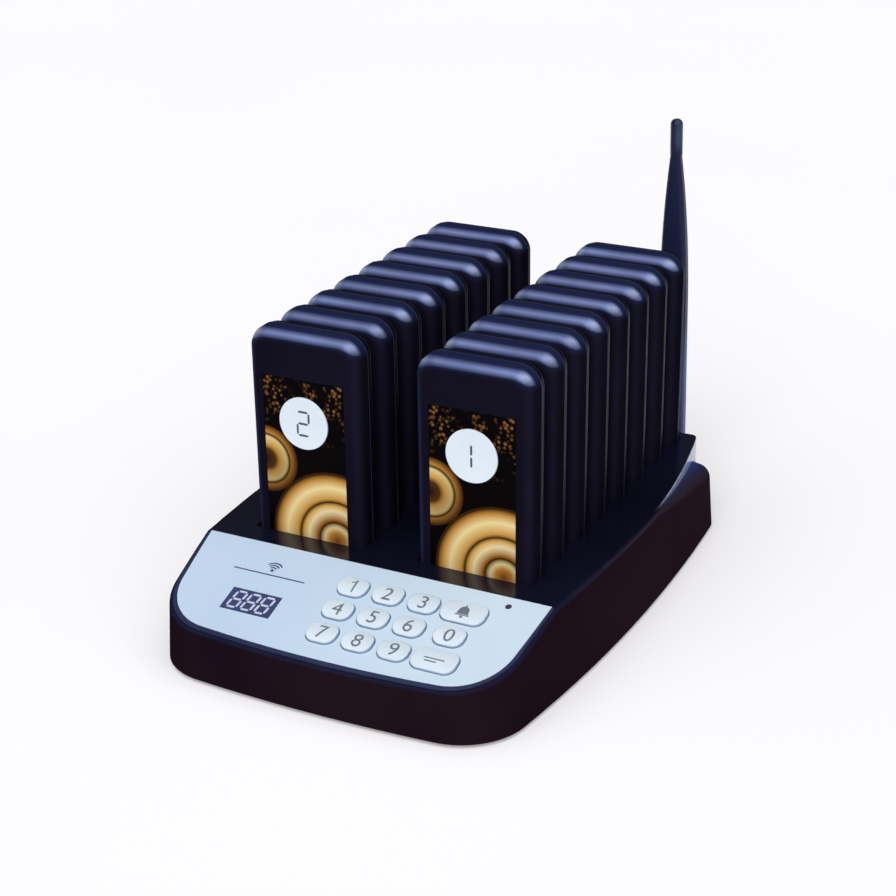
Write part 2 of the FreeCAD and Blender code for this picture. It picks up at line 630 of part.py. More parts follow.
# ------------------------------------------------------------------ screws
def screw():
    """Pan-head screw, head down, the seat of its head at z = 0."""
    head = Part.makeCylinder(SCREW_HEAD_DIAMETER / 2, SCREW_HEAD_HEIGHT, V(0, 0, -SCREW_HEAD_HEIGHT))
    lower_rim = [edge for edge in head.Edges if edge.BoundBox.ZMax < -SCREW_HEAD_HEIGHT + 0.01]
    head = head.makeChamfer(SCREW_HEAD_HEIGHT / 3, lower_rim)
    return head.fuse(Part.makeCylinder(SCREW_DIAMETER / 2, SCREW_LENGTH)).removeSplitter()


def screw_at(x, y, z):
    placed = screw()
    placed.translate(V(x, y, z))
    return placed


def case_screw_set():
    """The floor's screws and the two boards' screws are all of one size."""
    head_seat = CASE_BOTTOM + SCREW_RECESS_DEPTH
    solids = [screw_at(x, y, head_seat) for x, y in case_screws()]
    solids += [on_panel(screw_at(x, y, -MAIN_BOARD_BOTTOM)) for x, y in main_board_screws()]
    solids += [screw_at(x, y, CHARGE_BOARD_TOP - BOARD_THICKNESS) for x, y in charge_board_screws()]
    return Part.makeCompound(solids)


# ------------------------------------------------------------------ keypad
def key_cap(width, depth, grow, low, high):
    """Upright rounded prism of a key's outline."""
    return rounded_prism(width + 2 * grow, depth + 2 * grow, KEY_CORNER_R + grow, low, high)


def key(width, depth):
    """One key: crowned cap, skirt and the flange that the panel holds in."""
    cap = key_cap(width, depth, 0, -KEY_BOTTOM, KEY_PROUD)
    sag = KEY_CROWN
    crown_r = (depth ** 2 / 4 + sag ** 2) / (2 * sag)
    crown = Part.makeCylinder(crown_r, 2 * width, V(-width, 0, KEY_PROUD - crown_r), V(1, 0, 0))
    below = box((-width, width), (-depth, depth), (-KEY_BOTTOM - 1, KEY_PROUD - KEY_CROWN - 0.01))
    cap = cap.common(crown.fuse(below)).removeSplitter()
    rim = [edge for edge in cap.Edges if edge.BoundBox.ZMin > KEY_PROUD - KEY_CROWN - 0.05]
    cap = cap.makeFillet(KEY_EDGE_R, rim)
    flange = rounded_prism(width + 2 * KEY_SIDE_FLANGE, depth + 2 * KEY_FLANGE, KEY_CORNER_R,
                           -KEY_FLANGE_TOP - KEY_FLANGE_THICKNESS, -KEY_FLANGE_TOP)
    return cap.fuse(flange).removeSplitter()


def face_panel():
    """Thin printed panel in its bed, with an opening for each key, the window and the lamp."""
    outline = Part.Face(foot_outline(PANEL_INSET, CASE_BOTTOM)).extrude(V(0, 0, CASE_HEIGHT))
    sheet = outline.common(slope_slab(0, PANEL_THICKNESS))
    sheet = sheet.common(box((-BIG, BIG), (FRONT_Y, PANEL_REAR_Y), (0, BIG)))
    through = (-PANEL_THICKNESS - 1, 1)
    openings = []
    for _, x, s, width, depth in keys():
        opening = key_cap(width, depth, KEY_CLEARANCE, *through)
        opening.translate(V(x, -s, 0))
        openings.append(on_panel(opening))
    openings.append(on_panel(box(*display_rectangle(PANEL_CLEARANCE), through)))
    openings.append(on_panel(cylinder(LED_DIAMETER + 2 * PANEL_CLEARANCE, LED_X, -LED_S, *through)))
    return cut(sheet, openings)


def display_window():
    return on_panel(box(*display_rectangle(0), (-PANEL_THICKNESS, 0)))


def display_module():
    """Three-digit lamp module standing on the keypad board under the window."""
    top = -SLOPE_WALL - DISPLAY_MODULE_GAP
    return on_panel(box(*display_rectangle(DISPLAY_MODULE_MARGIN), (-MAIN_BOARD_TOP, top)))


def status_led():
    """Round lamp whose tip is level with the panel."""
    body = cylinder(LED_DIAMETER, LED_X, -LED_S, -MAIN_BOARD_TOP, 0)
    flange = cylinder(LED_DIAMETER + 2 * LED_FLANGE, LED_X, -LED_S, -MAIN_BOARD_TOP, -SLOPE_WALL)
    return on_panel(body.fuse(flange).removeSplitter())


def key_mat():
    """Rubber sheet with a dome under each key."""
    sheet = box(*key_field(MAT_MARGIN - KEY_FLANGE), (-MAIN_BOARD_TOP, -MAT_TOP))
    domes = [Part.makeCone(DOME_DIAMETER / 2, DOME_DIAMETER / 3, DOME_HEIGHT, V(x, -s, -MAT_TOP))
             for _, x, s, _, _ in keys()]
    return on_panel(fuse([sheet] + domes))


def main_board():
    """Keypad board with its buzzer and its shielded radio module underneath."""
    board = box((MAIN_BOARD_LEFT, MAIN_BOARD_RIGHT), (-MAIN_BOARD_FRONT_S, -MAIN_BOARD_REAR_S),
                (-MAIN_BOARD_BOTTOM, -MAIN_BOARD_TOP))
    middle_y = -(MAIN_BOARD_FRONT_S + MAIN_BOARD_REAR_S) / 2
    buzzer = cylinder(BUZZER_DIAMETER, DISPLAY_X, middle_y,
                      -MAIN_BOARD_BOTTOM - BUZZER_HEIGHT, -MAIN_BOARD_BOTTOM)
    width, depth, height = RADIO_SIZE
    radio = box((WIDE_KEY_X - width, WIDE_KEY_X), (middle_y, middle_y + depth),
                (-MAIN_BOARD_BOTTOM - height, -MAIN_BOARD_BOTTOM))
    board = fuse([board, buzzer, radio])
    holes = [cylinder(SCREW_DIAMETER + 4 * SCREW_CLEARANCE, x, y, -MAIN_BOARD_BOTTOM - 1, 0)
             for x, y in main_board_screws()]
    return on_panel(cut(board, holes))


# ------------------------------------------------------------------ charging
def charge_board():
    """Board under the slots that carries the contacts and the power jack."""
    half_width = COLUMN_SPACING / 2 + (CONTACT_SPACING + CONTACT_WIDTH) / 2 + CHARGE_BOARD_MARGIN
    front = FIRST_PAGER_Y
    rear = REAR_Y - CASE_WALL - 2 * JACK_GAP
    board = box((-half_width, half_width), (front, rear),
                (CHARGE_BOARD_TOP - BOARD_THICKNESS, CHARGE_BOARD_TOP))
    bottom = CHARGE_BOARD_TOP - BOARD_THICKNESS
    holes = [cylinder(SCREW_DIAMETER + 4 * SCREW_CLEARANCE, x, y, bottom - 1, CHARGE_BOARD_TOP + 1)
             for x, y in charge_board_screws()]
    bay = CONNECTOR_FLANGE_DIAMETER / 2 + 1
    connector_bay = box((ANTENNA_X - bay, ANTENNA_X + bay),
                        (REAR_Y - CASE_WALL - CONNECTOR_NUT_THICKNESS - 1, REAR_Y),
                        (bottom - 1, CHARGE_BOARD_TOP + 1))
    return cut(board, holes + [connector_bay])


def contact():
    """One leaf contact: a foot on the board, a riser and a bent-over tip."""
    tip = PAGER_FOOT_Z - CONTACT_GAP - CHARGE_BOARD_TOP
    thick = CONTACT_THICKNESS
    profile = [
        (0, 0), (CONTACT_FOOT, 0), (CONTACT_FOOT, thick), (thick, thick), (thick, tip - thick),
        (thick * 2, tip - thick), (thick * 2, tip), (0, tip),
    ]
    points = [V(-CONTACT_WIDTH / 2, y, z) for y, z in profile]
    return Part.Face(Part.makePolygon(points + points[:1])).extrude(V(CONTACT_WIDTH, 0, 0))


def charging_contacts():
    """Two contacts under every slot."""
    solids = []
    for _, x, front_y in slots():
        for side in (-1, 1):
            leaf = contact()
            leaf.translate(V(x + side * CONTACT_SPACING / 2, front_y + PAGER_DEPTH / 2, CHARGE_BOARD_TOP))
            solids.append(leaf)
    return Part.makeCompound(solids)


def jack_z():
    """Height of the power jack's axis."""
    return CHARGE_BOARD_TOP - BOARD_THICKNESS - JACK_BODY[2] / 2


def jack_box(grow):
    """The jack body's ranges in x, y and z, made larger by grow."""
    width, depth, height = JACK_BODY
    face_y = REAR_Y - CASE_WALL - JACK_GAP
    return ((JACK_X - width / 2 - grow, JACK_X + width / 2 + grow), (face_y - depth - grow, face_y + grow),
            (jack_z() - height / 2 - grow, jack_z() + height / 2 + grow))


def dc_jack():
    """Barrel socket hung under the charging board, its nose in the rear wall."""
    def rod(diameter, start_y, length):
        return Part.makeCylinder(diameter / 2, length, V(JACK_X, start_y, jack_z()), V(0, 1, 0))

    bore_y = REAR_Y - JACK_BORE_DEPTH
    nose_length = CASE_WALL + JACK_GAP
    nose = rod(JACK_NOSE_DIAMETER, REAR_Y - nose_length, nose_length)
    bore = rod(JACK_BORE_DIAMETER, bore_y, JACK_BORE_DEPTH + 1)
    pin = rod(JACK_PIN_DIAMETER, bore_y - 1, JACK_BORE_DEPTH)
    return box(*jack_box(0)).fuse(nose).cut(bore).fuse(pin).removeSplitter()


# ------------------------------------------------------------------ antenna
def antenna_place(shape):
    """Antenna pieces are made with the connector's axis along y through the origin, outside y > 0."""
    moved = shape.copy()
    moved.rotate(V(0, 0, 0), V(0, 1, 0), -ANTENNA_LEAN)
    moved.translate(V(ANTENNA_X, REAR_Y, ANTENNA_Z))
    return moved


def antenna_socket():
    """Bulkhead connector: flange inside the wall, thread through it, hexagon nut outside."""
    thread = Part.makeCylinder(CONNECTOR_THREAD_DIAMETER / 2, CASE_WALL + CONNECTOR_REACH,
                               V(0, -CASE_WALL, 0), V(0, 1, 0))
    flange = Part.makeCylinder(CONNECTOR_FLANGE_DIAMETER / 2, CONNECTOR_NUT_THICKNESS,
                               V(0, -CASE_WALL - CONNECTOR_NUT_THICKNESS, 0), V(0, 1, 0))
    corner_r = CONNECTOR_NUT_ACROSS / math.sqrt(3)
    turns = [math.radians(60 * index) for index in range(7)]
    corners = [V(corner_r * math.cos(turn), 0, corner_r * math.sin(turn)) for turn in turns]
    nut = Part.Face(Part.makePolygon(corners)).extrude(V(0, CONNECTOR_NUT_THICKNESS, 0))
    return antenna_place(fuse([thread, flange, nut]))


def antenna_knuckle():
    """Elbow that turns on the connector and carries the fold pin between two ears."""
    start = CONNECTOR_NUT_THICKNESS + KNUCKLE_GAP
    radius = KNUCKLE_DIAMETER / 2
    barrel = Part.makeCylinder(radius, ANTENNA_AXIS_OFFSET + radius - start, V(0, start, 0), V(0, 1, 0))
    low_y = ANTENNA_AXIS_OFFSET - radius
    high_y = ANTENNA_AXIS_OFFSET + radius
    block = box((-FORK_WIDTH / 2, FORK_WIDTH / 2), (low_y, high_y), (0, FORK_HEIGHT))
    pin_start = V(-FORK_WIDTH / 2, ANTENNA_AXIS_OFFSET, FORK_HEIGHT)
    ear = Part.makeCylinder(radius, FORK_WIDTH, pin_start, V(1, 0, 0))
    elbow = fuse([barrel, block, ear])
    slot_floor = FORK_HEIGHT - radius - FORK_CLEARANCE
    slot = box((-FORK_SLOT / 2, FORK_SLOT / 2), (low_y - 1, high_y + 1),
               (slot_floor, FORK_HEIGHT + radius + 1))
    bore = Part.makeCylinder(CONNECTOR_THREAD_DIAMETER / 2 + CONNECTOR_CLEARANCE,
                             CONNECTOR_REACH - start + FORK_CLEARANCE, V(0, start, 0), V(0, 1, 0))
    pin = Part.makeCylinder(FORK_PIN_DIAMETER / 2, FORK_WIDTH, pin_start, V(1, 0, 0))
    return antenna_place(cut(elbow, [slot, bore]).fuse(pin).removeSplitter())


def blade_section(width, thickness, z):
    """Rounded rectangle of the blade's cross-section, as a wire."""
    prism = rounded_prism(width, thickness, thickness * BLADE_ROUNDING, z, z + 1)
    face = min(prism.Faces, key=lambda candidate: candidate.CenterOfMass.z)
    return face.OuterWire


def antenna_blade():
    """Flat blade that narrows to a round tip, with a tongue on the fold pin."""
    start = FORK_HEIGHT + BLADE_START
    shaft = Part.makeLoft([blade_section(BLADE_WIDTH, BLADE_THICKNESS, start),
                           blade_section(BLADE_WIDTH, BLADE_THICKNESS, BLADE_TAPER_START)], True, True)
    sections = []
    for index in range(BLADE_SECTIONS):
        along = index / (BLADE_SECTIONS - 1)
        width = BLADE_WIDTH - (BLADE_WIDTH - BLADE_NECK_WIDTH) * along ** 2
        thickness = BLADE_THICKNESS - (BLADE_THICKNESS - BLADE_NECK_WIDTH) * along ** 2
        height = BLADE_TAPER_START + along * (BLADE_TOP - BLADE_TAPER_START)
        sections.append(blade_section(width, thickness, height))
    taper = Part.makeLoft(sections, True, False)
    tip = cylinder(TIP_DIAMETER, 0, 0, BLADE_TOP, BLADE_TOP + TIP_LENGTH)
    rim = [edge for edge in tip.Edges if edge.BoundBox.ZMin > BLADE_TOP + TIP_LENGTH - 0.01]
    tip = tip.makeFillet(TIP_DIAMETER * 0.45, rim)
    tongue_half = FORK_SLOT / 2 - FORK_CLEARANCE
    tongue_r = KNUCKLE_DIAMETER / 2 - FORK_CLEARANCE
    tongue = box((-tongue_half, tongue_half), (-tongue_r, tongue_r), (FORK_HEIGHT, start))
    tongue = tongue.common(box((-BIG, BIG), (-BLADE_THICKNESS / 2, BLADE_THICKNESS / 2), (0, BIG)))
    knuckle_end = Part.makeCylinder(tongue_r, 2 * tongue_half, V(-tongue_half, 0, FORK_HEIGHT), V(1, 0, 0))
    blade = fuse([shaft, taper, tip, tongue, knuckle_end])
    hole = Part.makeCylinder(FORK_PIN_DIAMETER / 2 + PIN_CLEARANCE, FORK_WIDTH,
                             V(-FORK_WIDTH / 2, 0, FORK_HEIGHT), V(1, 0, 0))
    blade = blade.cut(hole)
    blade.translate(V(0, ANTENNA_AXIS_OFFSET, 0))
    return antenna_place(blade)


# ------------------------------------------------------------------ pagers
def pager_prism(inset, low_y, high_y):
    """The pager's outline, moved in by inset, between two depths behind its face."""
    prism = rounded_prism(PAGER_WIDTH - 2 * inset, PAGER_HEIGHT - 2 * inset, PAGER_CORNER_R - inset,
                          -high_y, -low_y)
    prism.rotate(V(0, 0, 0), V(1, 0, 0), 90)
    prism.translate(V(0, 0, PAGER_HEIGHT / 2))
    return prism


def pager_block(inset, low_y, high_y):
    """Square-cornered block within the pager's outline."""
    half_width = PAGER_WIDTH / 2 - inset
    return box((-half_width, half_width), (low_y, high_y), (inset, PAGER_HEIGHT - inset))


def edges_at_depth(shape, y):
    """The edges that lie in one plane across the pager's depth."""
    return [edge for edge in shape.Edges
            if abs(edge.BoundBox.YMin - y) < 0.01 and edge.BoundBox.YLength < 0.01]


def pager_front():
    """Front shell, open at the back, with a shallow bed for the picture film."""
    shell = pager_prism(0, 0, FRONT_SHELL_DEPTH)
    shell = shell.makeFillet(FRONT_EDGE_R, edges_at_depth(shell, 0))
    hollow = pager_prism(PAGER_WALL, PAGER_WALL, FRONT_SHELL_DEPTH)
    hollow = hollow.makeFillet(FRONT_EDGE_R - PAGER_WALL, edges_at_depth(hollow, PAGER_WALL))
    shell = shell.cut(hollow)
    bed_top = PAGER_HEIGHT - LABEL_TOP_MARGIN
    bed = box((-LABEL_WIDTH / 2, LABEL_WIDTH / 2), (-1, LABEL_BED_DEPTH), (bed_top - LABEL_HEIGHT, bed_top))
    return shell.cut(bed)


def pager_back():
    """Rear shell with the board, cell and buzzing motor that it carries."""
    shell = pager_prism(REAR_SHELL_INSET, FRONT_SHELL_DEPTH, PAGER_DEPTH)
    shell = shell.makeFillet(REAR_EDGE_R, edges_at_depth(shell, PAGER_DEPTH))
    shell = shell.cut(pager_block(REAR_HOLLOW_INSET, FRONT_SHELL_DEPTH, PAGER_DEPTH - PAGER_WALL))
    board_face = FRONT_SHELL_DEPTH - PAGER_BOARD_THICKNESS
    board = pager_block(PAGER_BOARD_INSET, board_face, FRONT_SHELL_DEPTH)
    width, depth, height = CELL_SIZE
    middle = PAGER_HEIGHT / 2
    cell = box((-width / 2, width / 2), (board_face - depth, board_face),
               (middle - height / 2, middle + height / 2))
    motor_z = middle + height / 2 + MOTOR_DIAMETER
    motor_at = V(-MOTOR_LENGTH / 2, board_face - MOTOR_DIAMETER * 0.46, motor_z)
    motor = Part.makeCylinder(MOTOR_DIAMETER / 2, MOTOR_LENGTH, motor_at, V(1, 0, 0))
    return fuse([shell, board, cell, motor])


# ------------------------------------------------------------------ writing the pieces
def export(name, shape):
    """One STEP file per piece."""
    shape.exportStep("parts/" + name + ".step")


def main():
    os.makedirs("parts", exist_ok=True)
    export("top_housing", top_housing())
    export("bottom_housing", bottom_housing())
    export("rubber_feet", rubber_feet())
    export("case_screws", case_screw_set())
    export("face_panel", face_panel())
    export("display_window", display_window())
    export("display_module", display_module())
    export("status_led", status_led())
    export("key_mat", key_mat())
    export("main_board", main_board())
    for name, x, s, width, depth in keys():
        cap = key(width, depth)
        cap.translate(V(x, -s, 0))
        export("key_" + name, on_panel(cap))
    export("charging_board", charge_board())
    export("charging_contacts", charging_contacts())
    export("dc_jack", dc_jack())
    export("antenna_socket", antenna_socket())
    export("antenna_knuckle", antenna_knuckle())
    export("antenna_blade", antenna_blade())
    front, back = pager_front(), pager_back()
    for number, x, front_y in slots():
        for side, shell in (("front", front), ("back", back)):
            placed = shell.copy()
            placed.translate(V(x, front_y, PAGER_FOOT_Z))
            export("pager_%02d_%s" % (number, side), placed)


main()
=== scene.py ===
"""Looks of the guest pager system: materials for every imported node, picture films, number
discs, key legends and display figures, and the camera, floor and lights.

Sizes are millimetres in the row frame, and mm() turns them into Blender's metres.
"""
import math

import bmesh
import bpy
from mathutils import Matrix, Vector
from mathutils.bvhtree import BVHTree


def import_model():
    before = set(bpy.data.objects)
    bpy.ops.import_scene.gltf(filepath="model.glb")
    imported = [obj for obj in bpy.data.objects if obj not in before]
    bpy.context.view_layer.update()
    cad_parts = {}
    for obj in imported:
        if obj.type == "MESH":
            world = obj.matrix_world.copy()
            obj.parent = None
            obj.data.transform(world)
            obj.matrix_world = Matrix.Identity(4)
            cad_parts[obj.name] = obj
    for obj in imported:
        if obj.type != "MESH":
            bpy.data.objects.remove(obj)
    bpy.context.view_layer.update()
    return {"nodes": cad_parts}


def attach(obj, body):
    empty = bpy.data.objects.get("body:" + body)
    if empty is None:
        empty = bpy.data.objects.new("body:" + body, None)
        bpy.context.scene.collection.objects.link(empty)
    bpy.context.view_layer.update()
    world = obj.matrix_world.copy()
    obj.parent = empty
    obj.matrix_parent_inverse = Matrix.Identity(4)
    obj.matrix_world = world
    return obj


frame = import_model()

# ------------------------------------------------------------------ sizes
FIRST_PAGER_Y = -60.95        # front face of the first pager
PAGER_PITCH = 22.0
COLUMN_X = 38.6
PAGER_ROWS = 8
PAGER_WIDTH = 52.2
PAGER_FOOT_Z = 27.1
PAGER_TOP_Z = 131.1
PAGER_CORNER_R = 9.5
SEAM_DEPTH = 9.3              # from the pager's face back to the joint of its shells
SEAM_THICKNESS = 0.45
SEAM_PROUD = 0.03             # off the pager's outline
SEAM_INSET = 0.25             # from the pager's outline in to the seam's inner edge
LABEL_WIDTH = 38.1
LABEL_HEIGHT = 73.6
LABEL_CORNER_R = 0.8
LABEL_TOP_MARGIN = 20.2
LABEL_BED = 0.3               # depth of the film's bed in the pager's face
LABEL_THICKNESS = 0.22
DISC_R = 11.5
DISC_DROP = 39.0              # from the pager's top down to the disc's centre
DISC_THICKNESS = 0.6          # above the film
DISC_SUNK = 0.05              # and into it
NUMBER_SUNK = 0.05            # how far a number's marks reach into its disc
PANEL_REAR_Y = -73.25
DECK_Z = 40.2
PANEL_SLOPE = math.radians(18.2)
KEY_ROW_S = 13.6
KEY_ROW_PITCH = 13.4
KEY_COLUMN_X = -2.7
KEY_COLUMN_PITCH = 16.1
WIDE_KEY_X = 47.4
LEGEND_SIZE = 9.4
LEGEND_STRIP = 0.4            # a legend is cut into strips this wide to follow its key
LEGEND_STRIPS = 14            # cuts on each side of the legend's middle
DISPLAY_X = -40.2
DISPLAY_S = 33.5
SIGN_X = -41.0
SIGN_S = 14.0
SIGN_LINE = 0.62              # width of the sign's arcs
INK = 0.06                    # how far printed marks stand off their surface
INK_SUNK = 0.1                # and reach into it
SKIN_DEPTH = 0.1              # height that a bump of strength 1 stands for


def mm(*values):
    """Millimetres to metres: one number, or a vector from three."""
    if len(values) == 1:
        return values[0] / 1000
    return Vector(values) / 1000


def panel_matrix(x, s):
    """The place at x, s down the slope: local X right, local Y up the slope, local Z out of
    the panel."""
    cos, sin = math.cos(PANEL_SLOPE), math.sin(PANEL_SLOPE)
    place = mm(x, PANEL_REAR_Y - s * cos, DECK_Z - s * sin)
    turn = Matrix(((1, 0, 0), (0, cos, -sin), (0, sin, cos))).to_4x4()
    return Matrix.Translation(place) @ turn


# ------------------------------------------------------------------ materials
def rgb(text):
    """Linear colour from an sRGB hex string."""
    values = [int(text[i:i + 2], 16) / 255 for i in (0, 2, 4)]
    return tuple(v / 12.92 if v <= 0.04045 else ((v + 0.055) / 1.055) ** 2.4
                 for v in values) + (1.0,)


class Surface:
    """A Principled material under construction."""

    def __init__(self, name, **sockets):
        self.material = bpy.data.materials.new(name)
        self.material.use_nodes = True
        self.tree = self.material.node_tree
        self.shader = self.tree.nodes["Principled BSDF"]
        for socket, value in sockets.items():
            self.shader.inputs[socket.replace("_", " ")].default_value = value
        self.place = self.node("ShaderNodeTexCoord").outputs["Object"]

    def node(self, kind, **settings):
        made = self.tree.nodes.new(kind)
        for key, value in settings.items():
            setattr(made, key, value)
        return made

    def join(self, output, target):
        self.tree.links.new(output, target)

    def noise(self, scale, detail=3.0):
        made = self.node("ShaderNodeTexNoise")
        made.inputs["Scale"].default_value = scale
        made.inputs["Detail"].default_value = detail
        self.join(self.place, made.inputs["Vector"])
        return made.outputs["Fac"]

    def ramp(self, factor, stops):
        """Blends along factor through stops of (position, hex colour)."""
        made = self.node("ShaderNodeValToRGB")
        points = made.color_ramp.elements
        while len(points) < len(stops):
            points.new(0.5)
        for point, (position, colour) in zip(points, stops):
            point.position = position
            point.color = rgb(colour)
        self.join(factor, made.inputs["Fac"])
        return made.outputs["Color"]

    def span(self, factor, low, high, start=0.3, end=0.7):
        """Runs from low to high while factor runs from start to end."""
        made = self.node("ShaderNodeMapRange")
        made.inputs["From Min"].default_value = start
        made.inputs["From Max"].default_value = end
        made.inputs["To Min"].default_value = low
        made.inputs["To Max"].default_value = high
        self.join(factor, made.inputs["Value"])
        return made.outputs["Result"]

    def mix(self, factor, a, b):
        """Colour a where factor is 0 and b where it is 1."""
        made = self.node("ShaderNodeMix", data_type="RGBA")
        self.join(factor, made.inputs["Factor"])
        for socket, value in (("A", a), ("B", b)):
            target = next(i for i in made.inputs if i.name == socket and i.type == "RGBA")
            if isinstance(value, tuple):
                target.default_value = value
            else:
                self.join(value, target)
        return next(o for o in made.outputs if o.type == "RGBA")

    def math(self, operation, *values):
        made = self.node("ShaderNodeMath", operation=operation)
        for target, value in zip(made.inputs, values):
            if isinstance(value, (int, float)):
                target.default_value = value
            else:
                self.join(value, target)
        return made.outputs["Value"]

    def product(self, first, *others):
        """All the factors multiplied. With masks, that is where all of them hold."""
        for other in others:
            first = self.math("MULTIPLY", first, other)
        return first

    def axes(self, vector):
        """The three components of a vector output."""
        made = self.node("ShaderNodeSeparateXYZ")
        self.join(vector, made.inputs["Vector"])
        return made.outputs

    def facing(self):
        """The components of the surface normal, in the object's own axes."""
        return self.axes(self.node("ShaderNodeTexCoord").outputs["Normal"])

    def bump(self, height, depth):
        made = self.node("ShaderNodeBump")
        made.inputs["Strength"].default_value = depth
        made.inputs["Distance"].default_value = mm(SKIN_DEPTH)
        self.join(height, made.inputs["Height"])
        self.join(made.outputs["Normal"], self.shader.inputs["Normal"])

    def colour(self, output):
        self.join(output, self.shader.inputs["Base Color"])

    def roughness(self, output):
        self.join(output, self.shader.inputs["Roughness"])

    def gloss(self, output):
        self.join(output, self.shader.inputs["Specular IOR Level"])


def moulded(name, dark, light, roughness, patch=18.0, grain=2600.0, depth=0.12, **sockets):
    """Moulded plastic: slight mottling, an uneven polish and a fine skin texture."""
    made = Surface(name, **sockets)
    made.colour(made.ramp(made.noise(patch), [(0.32, dark), (0.68, light)]))
    made.roughness(made.span(made.noise(patch * 3, 4.0), *roughness))
    made.bump(made.noise(grain, 2.0), depth)
    return made.material


def case_plastic():
    """Dark case: a polished deck painted navy where it faces up, a painted bluish reflection
    tint, with a painted highlight as a bluer rim round the panel, painted blue reflections on the
    fender tops at the rear, a polished band where the core's side rises from them that is painted
    pale as a painted reflection above a side painted blue the same way, and dull maroon-black
    walls, painted lighter to the rear as painted light and with a painted highlight along their
    rounded upper edges."""
    made = Surface("case_plastic", IOR=1.5, Specular_IOR_Level=0.3,
                   Specular_Tint=rgb("c9d4ff"))
    facing = made.facing()
    upward = facing["Z"]
    place = made.axes(made.place)
    across = made.math("ABSOLUTE", place["X"])
    behind = made.span(place["Y"], 0.0, 1.0, mm(24.0), mm(36.0))

    # the core's side above the fenders, which comes nearer to the middle to the rear; it is
    # painted blue, a painted reflection
    narrowing = made.math("MULTIPLY_ADD", place["Y"], 0.05, across)
    riser = made.product(made.math("LESS_THAN", narrowing, mm(85.6)),
                         made.math("GREATER_THAN", across, mm(69.0)), behind,
                         made.span(place["Z"], 0.0, 1.0, mm(28.0), mm(29.0)),
                         made.span(upward, 1.0, 0.0, 0.2, 0.6))
    # its polished part, whose lower edge sinks to the rear with the fenders, is also painted
    # pale, a painted reflection
    climb = made.math("MULTIPLY_ADD", place["Y"], 0.14, place["Z"])
    band = made.product(riser, made.span(climb, 0.0, 1.0, mm(43.5), mm(46.5)))

    # the fender tops at the rear get painted reflections, blue near the core and fading outward
    low = made.span(place["Z"], 1.0, 0.0, mm(39.0), mm(39.9))
    fender = made.product(low, behind, made.span(upward, 0.0, 1.0, 0.35, 0.80))
    # a patchy painted highlight along the rounded upper edges
    sheen_edges = made.product(made.span(upward, 0.0, 1.0, 0.12, 0.45),
                        made.span(upward, 1.0, 0.0, 0.72, 0.95))
    # a bluer rim round the panel, a painted highlight on its shoulder
    rim = made.product(made.span(place["Y"], 1.0, 0.0, mm(-74.5), mm(-73.2)),
                       made.span(upward, 0.0, 1.0, 0.86, 0.93))

    patch = made.noise(16.0)
    # colour of that painted highlight, navy at the front and greyer to the rear
    edge_highlight = made.mix(made.span(place["Y"], 0.0, 1.0, mm(-60.0), mm(0.0)),
                      rgb("1d2038"), rgb("332d39"))
    # walls painted lighter towards the rear, painted light that lifts their shade there
    wall = made.mix(made.span(place["Y"], 0.0, 1.0, mm(-60.0), mm(100.0)),
                    made.ramp(patch, [(0.3, "1a1019"), (0.7, "23161e")]),
                    made.ramp(patch, [(0.3, "281a23"), (0.7, "31222c")]))
    wall = made.mix(made.product(sheen_edges, made.span(made.noise(35.0), 0.3, 0.9)), wall, edge_highlight)
    # up-facing surfaces are painted navy, a painted bluish reflection tint, and the walls
    # maroon-black
    deck = made.ramp(patch, [(0.3, "0c0c19"), (0.7, "131427")])
    deck = made.mix(made.product(sheen_edges, 0.8), deck, edge_highlight)
    deck = made.mix(rim, deck, made.ramp(patch, [(0.3, "272e4b"), (0.7, "303857")]))
    fender_reflection = made.ramp(made.span(across, 0.0, 1.0, mm(72.0), mm(88.0)), [
        (0.0, "3d4b80"), (0.30, "27336a"), (0.50, "2a2946"), (0.75, "2e2738"), (1.0, "281c24")])
    deck = made.mix(fender, deck, fender_reflection)
    body = made.mix(made.span(upward, 0.0, 1.0, 0.25, 0.85), wall, deck)
    body = made.mix(riser, body, rgb("3a487c"))
    made.colour(made.mix(band, body, rgb("98a4cc")))

    gloss = made.math("ADD", made.span(upward, 0.0, 0.55, 0.93, 0.999), band)
    made.gloss(made.math("ADD", gloss, made.span(facing["Y"], 0.0, 0.3, 0.5, 0.9)))
    made.roughness(made.span(made.noise(60.0, 4.0), 0.14, 0.22))
    made.bump(made.noise(2400.0, 2.0), 0.03)
    return made.material


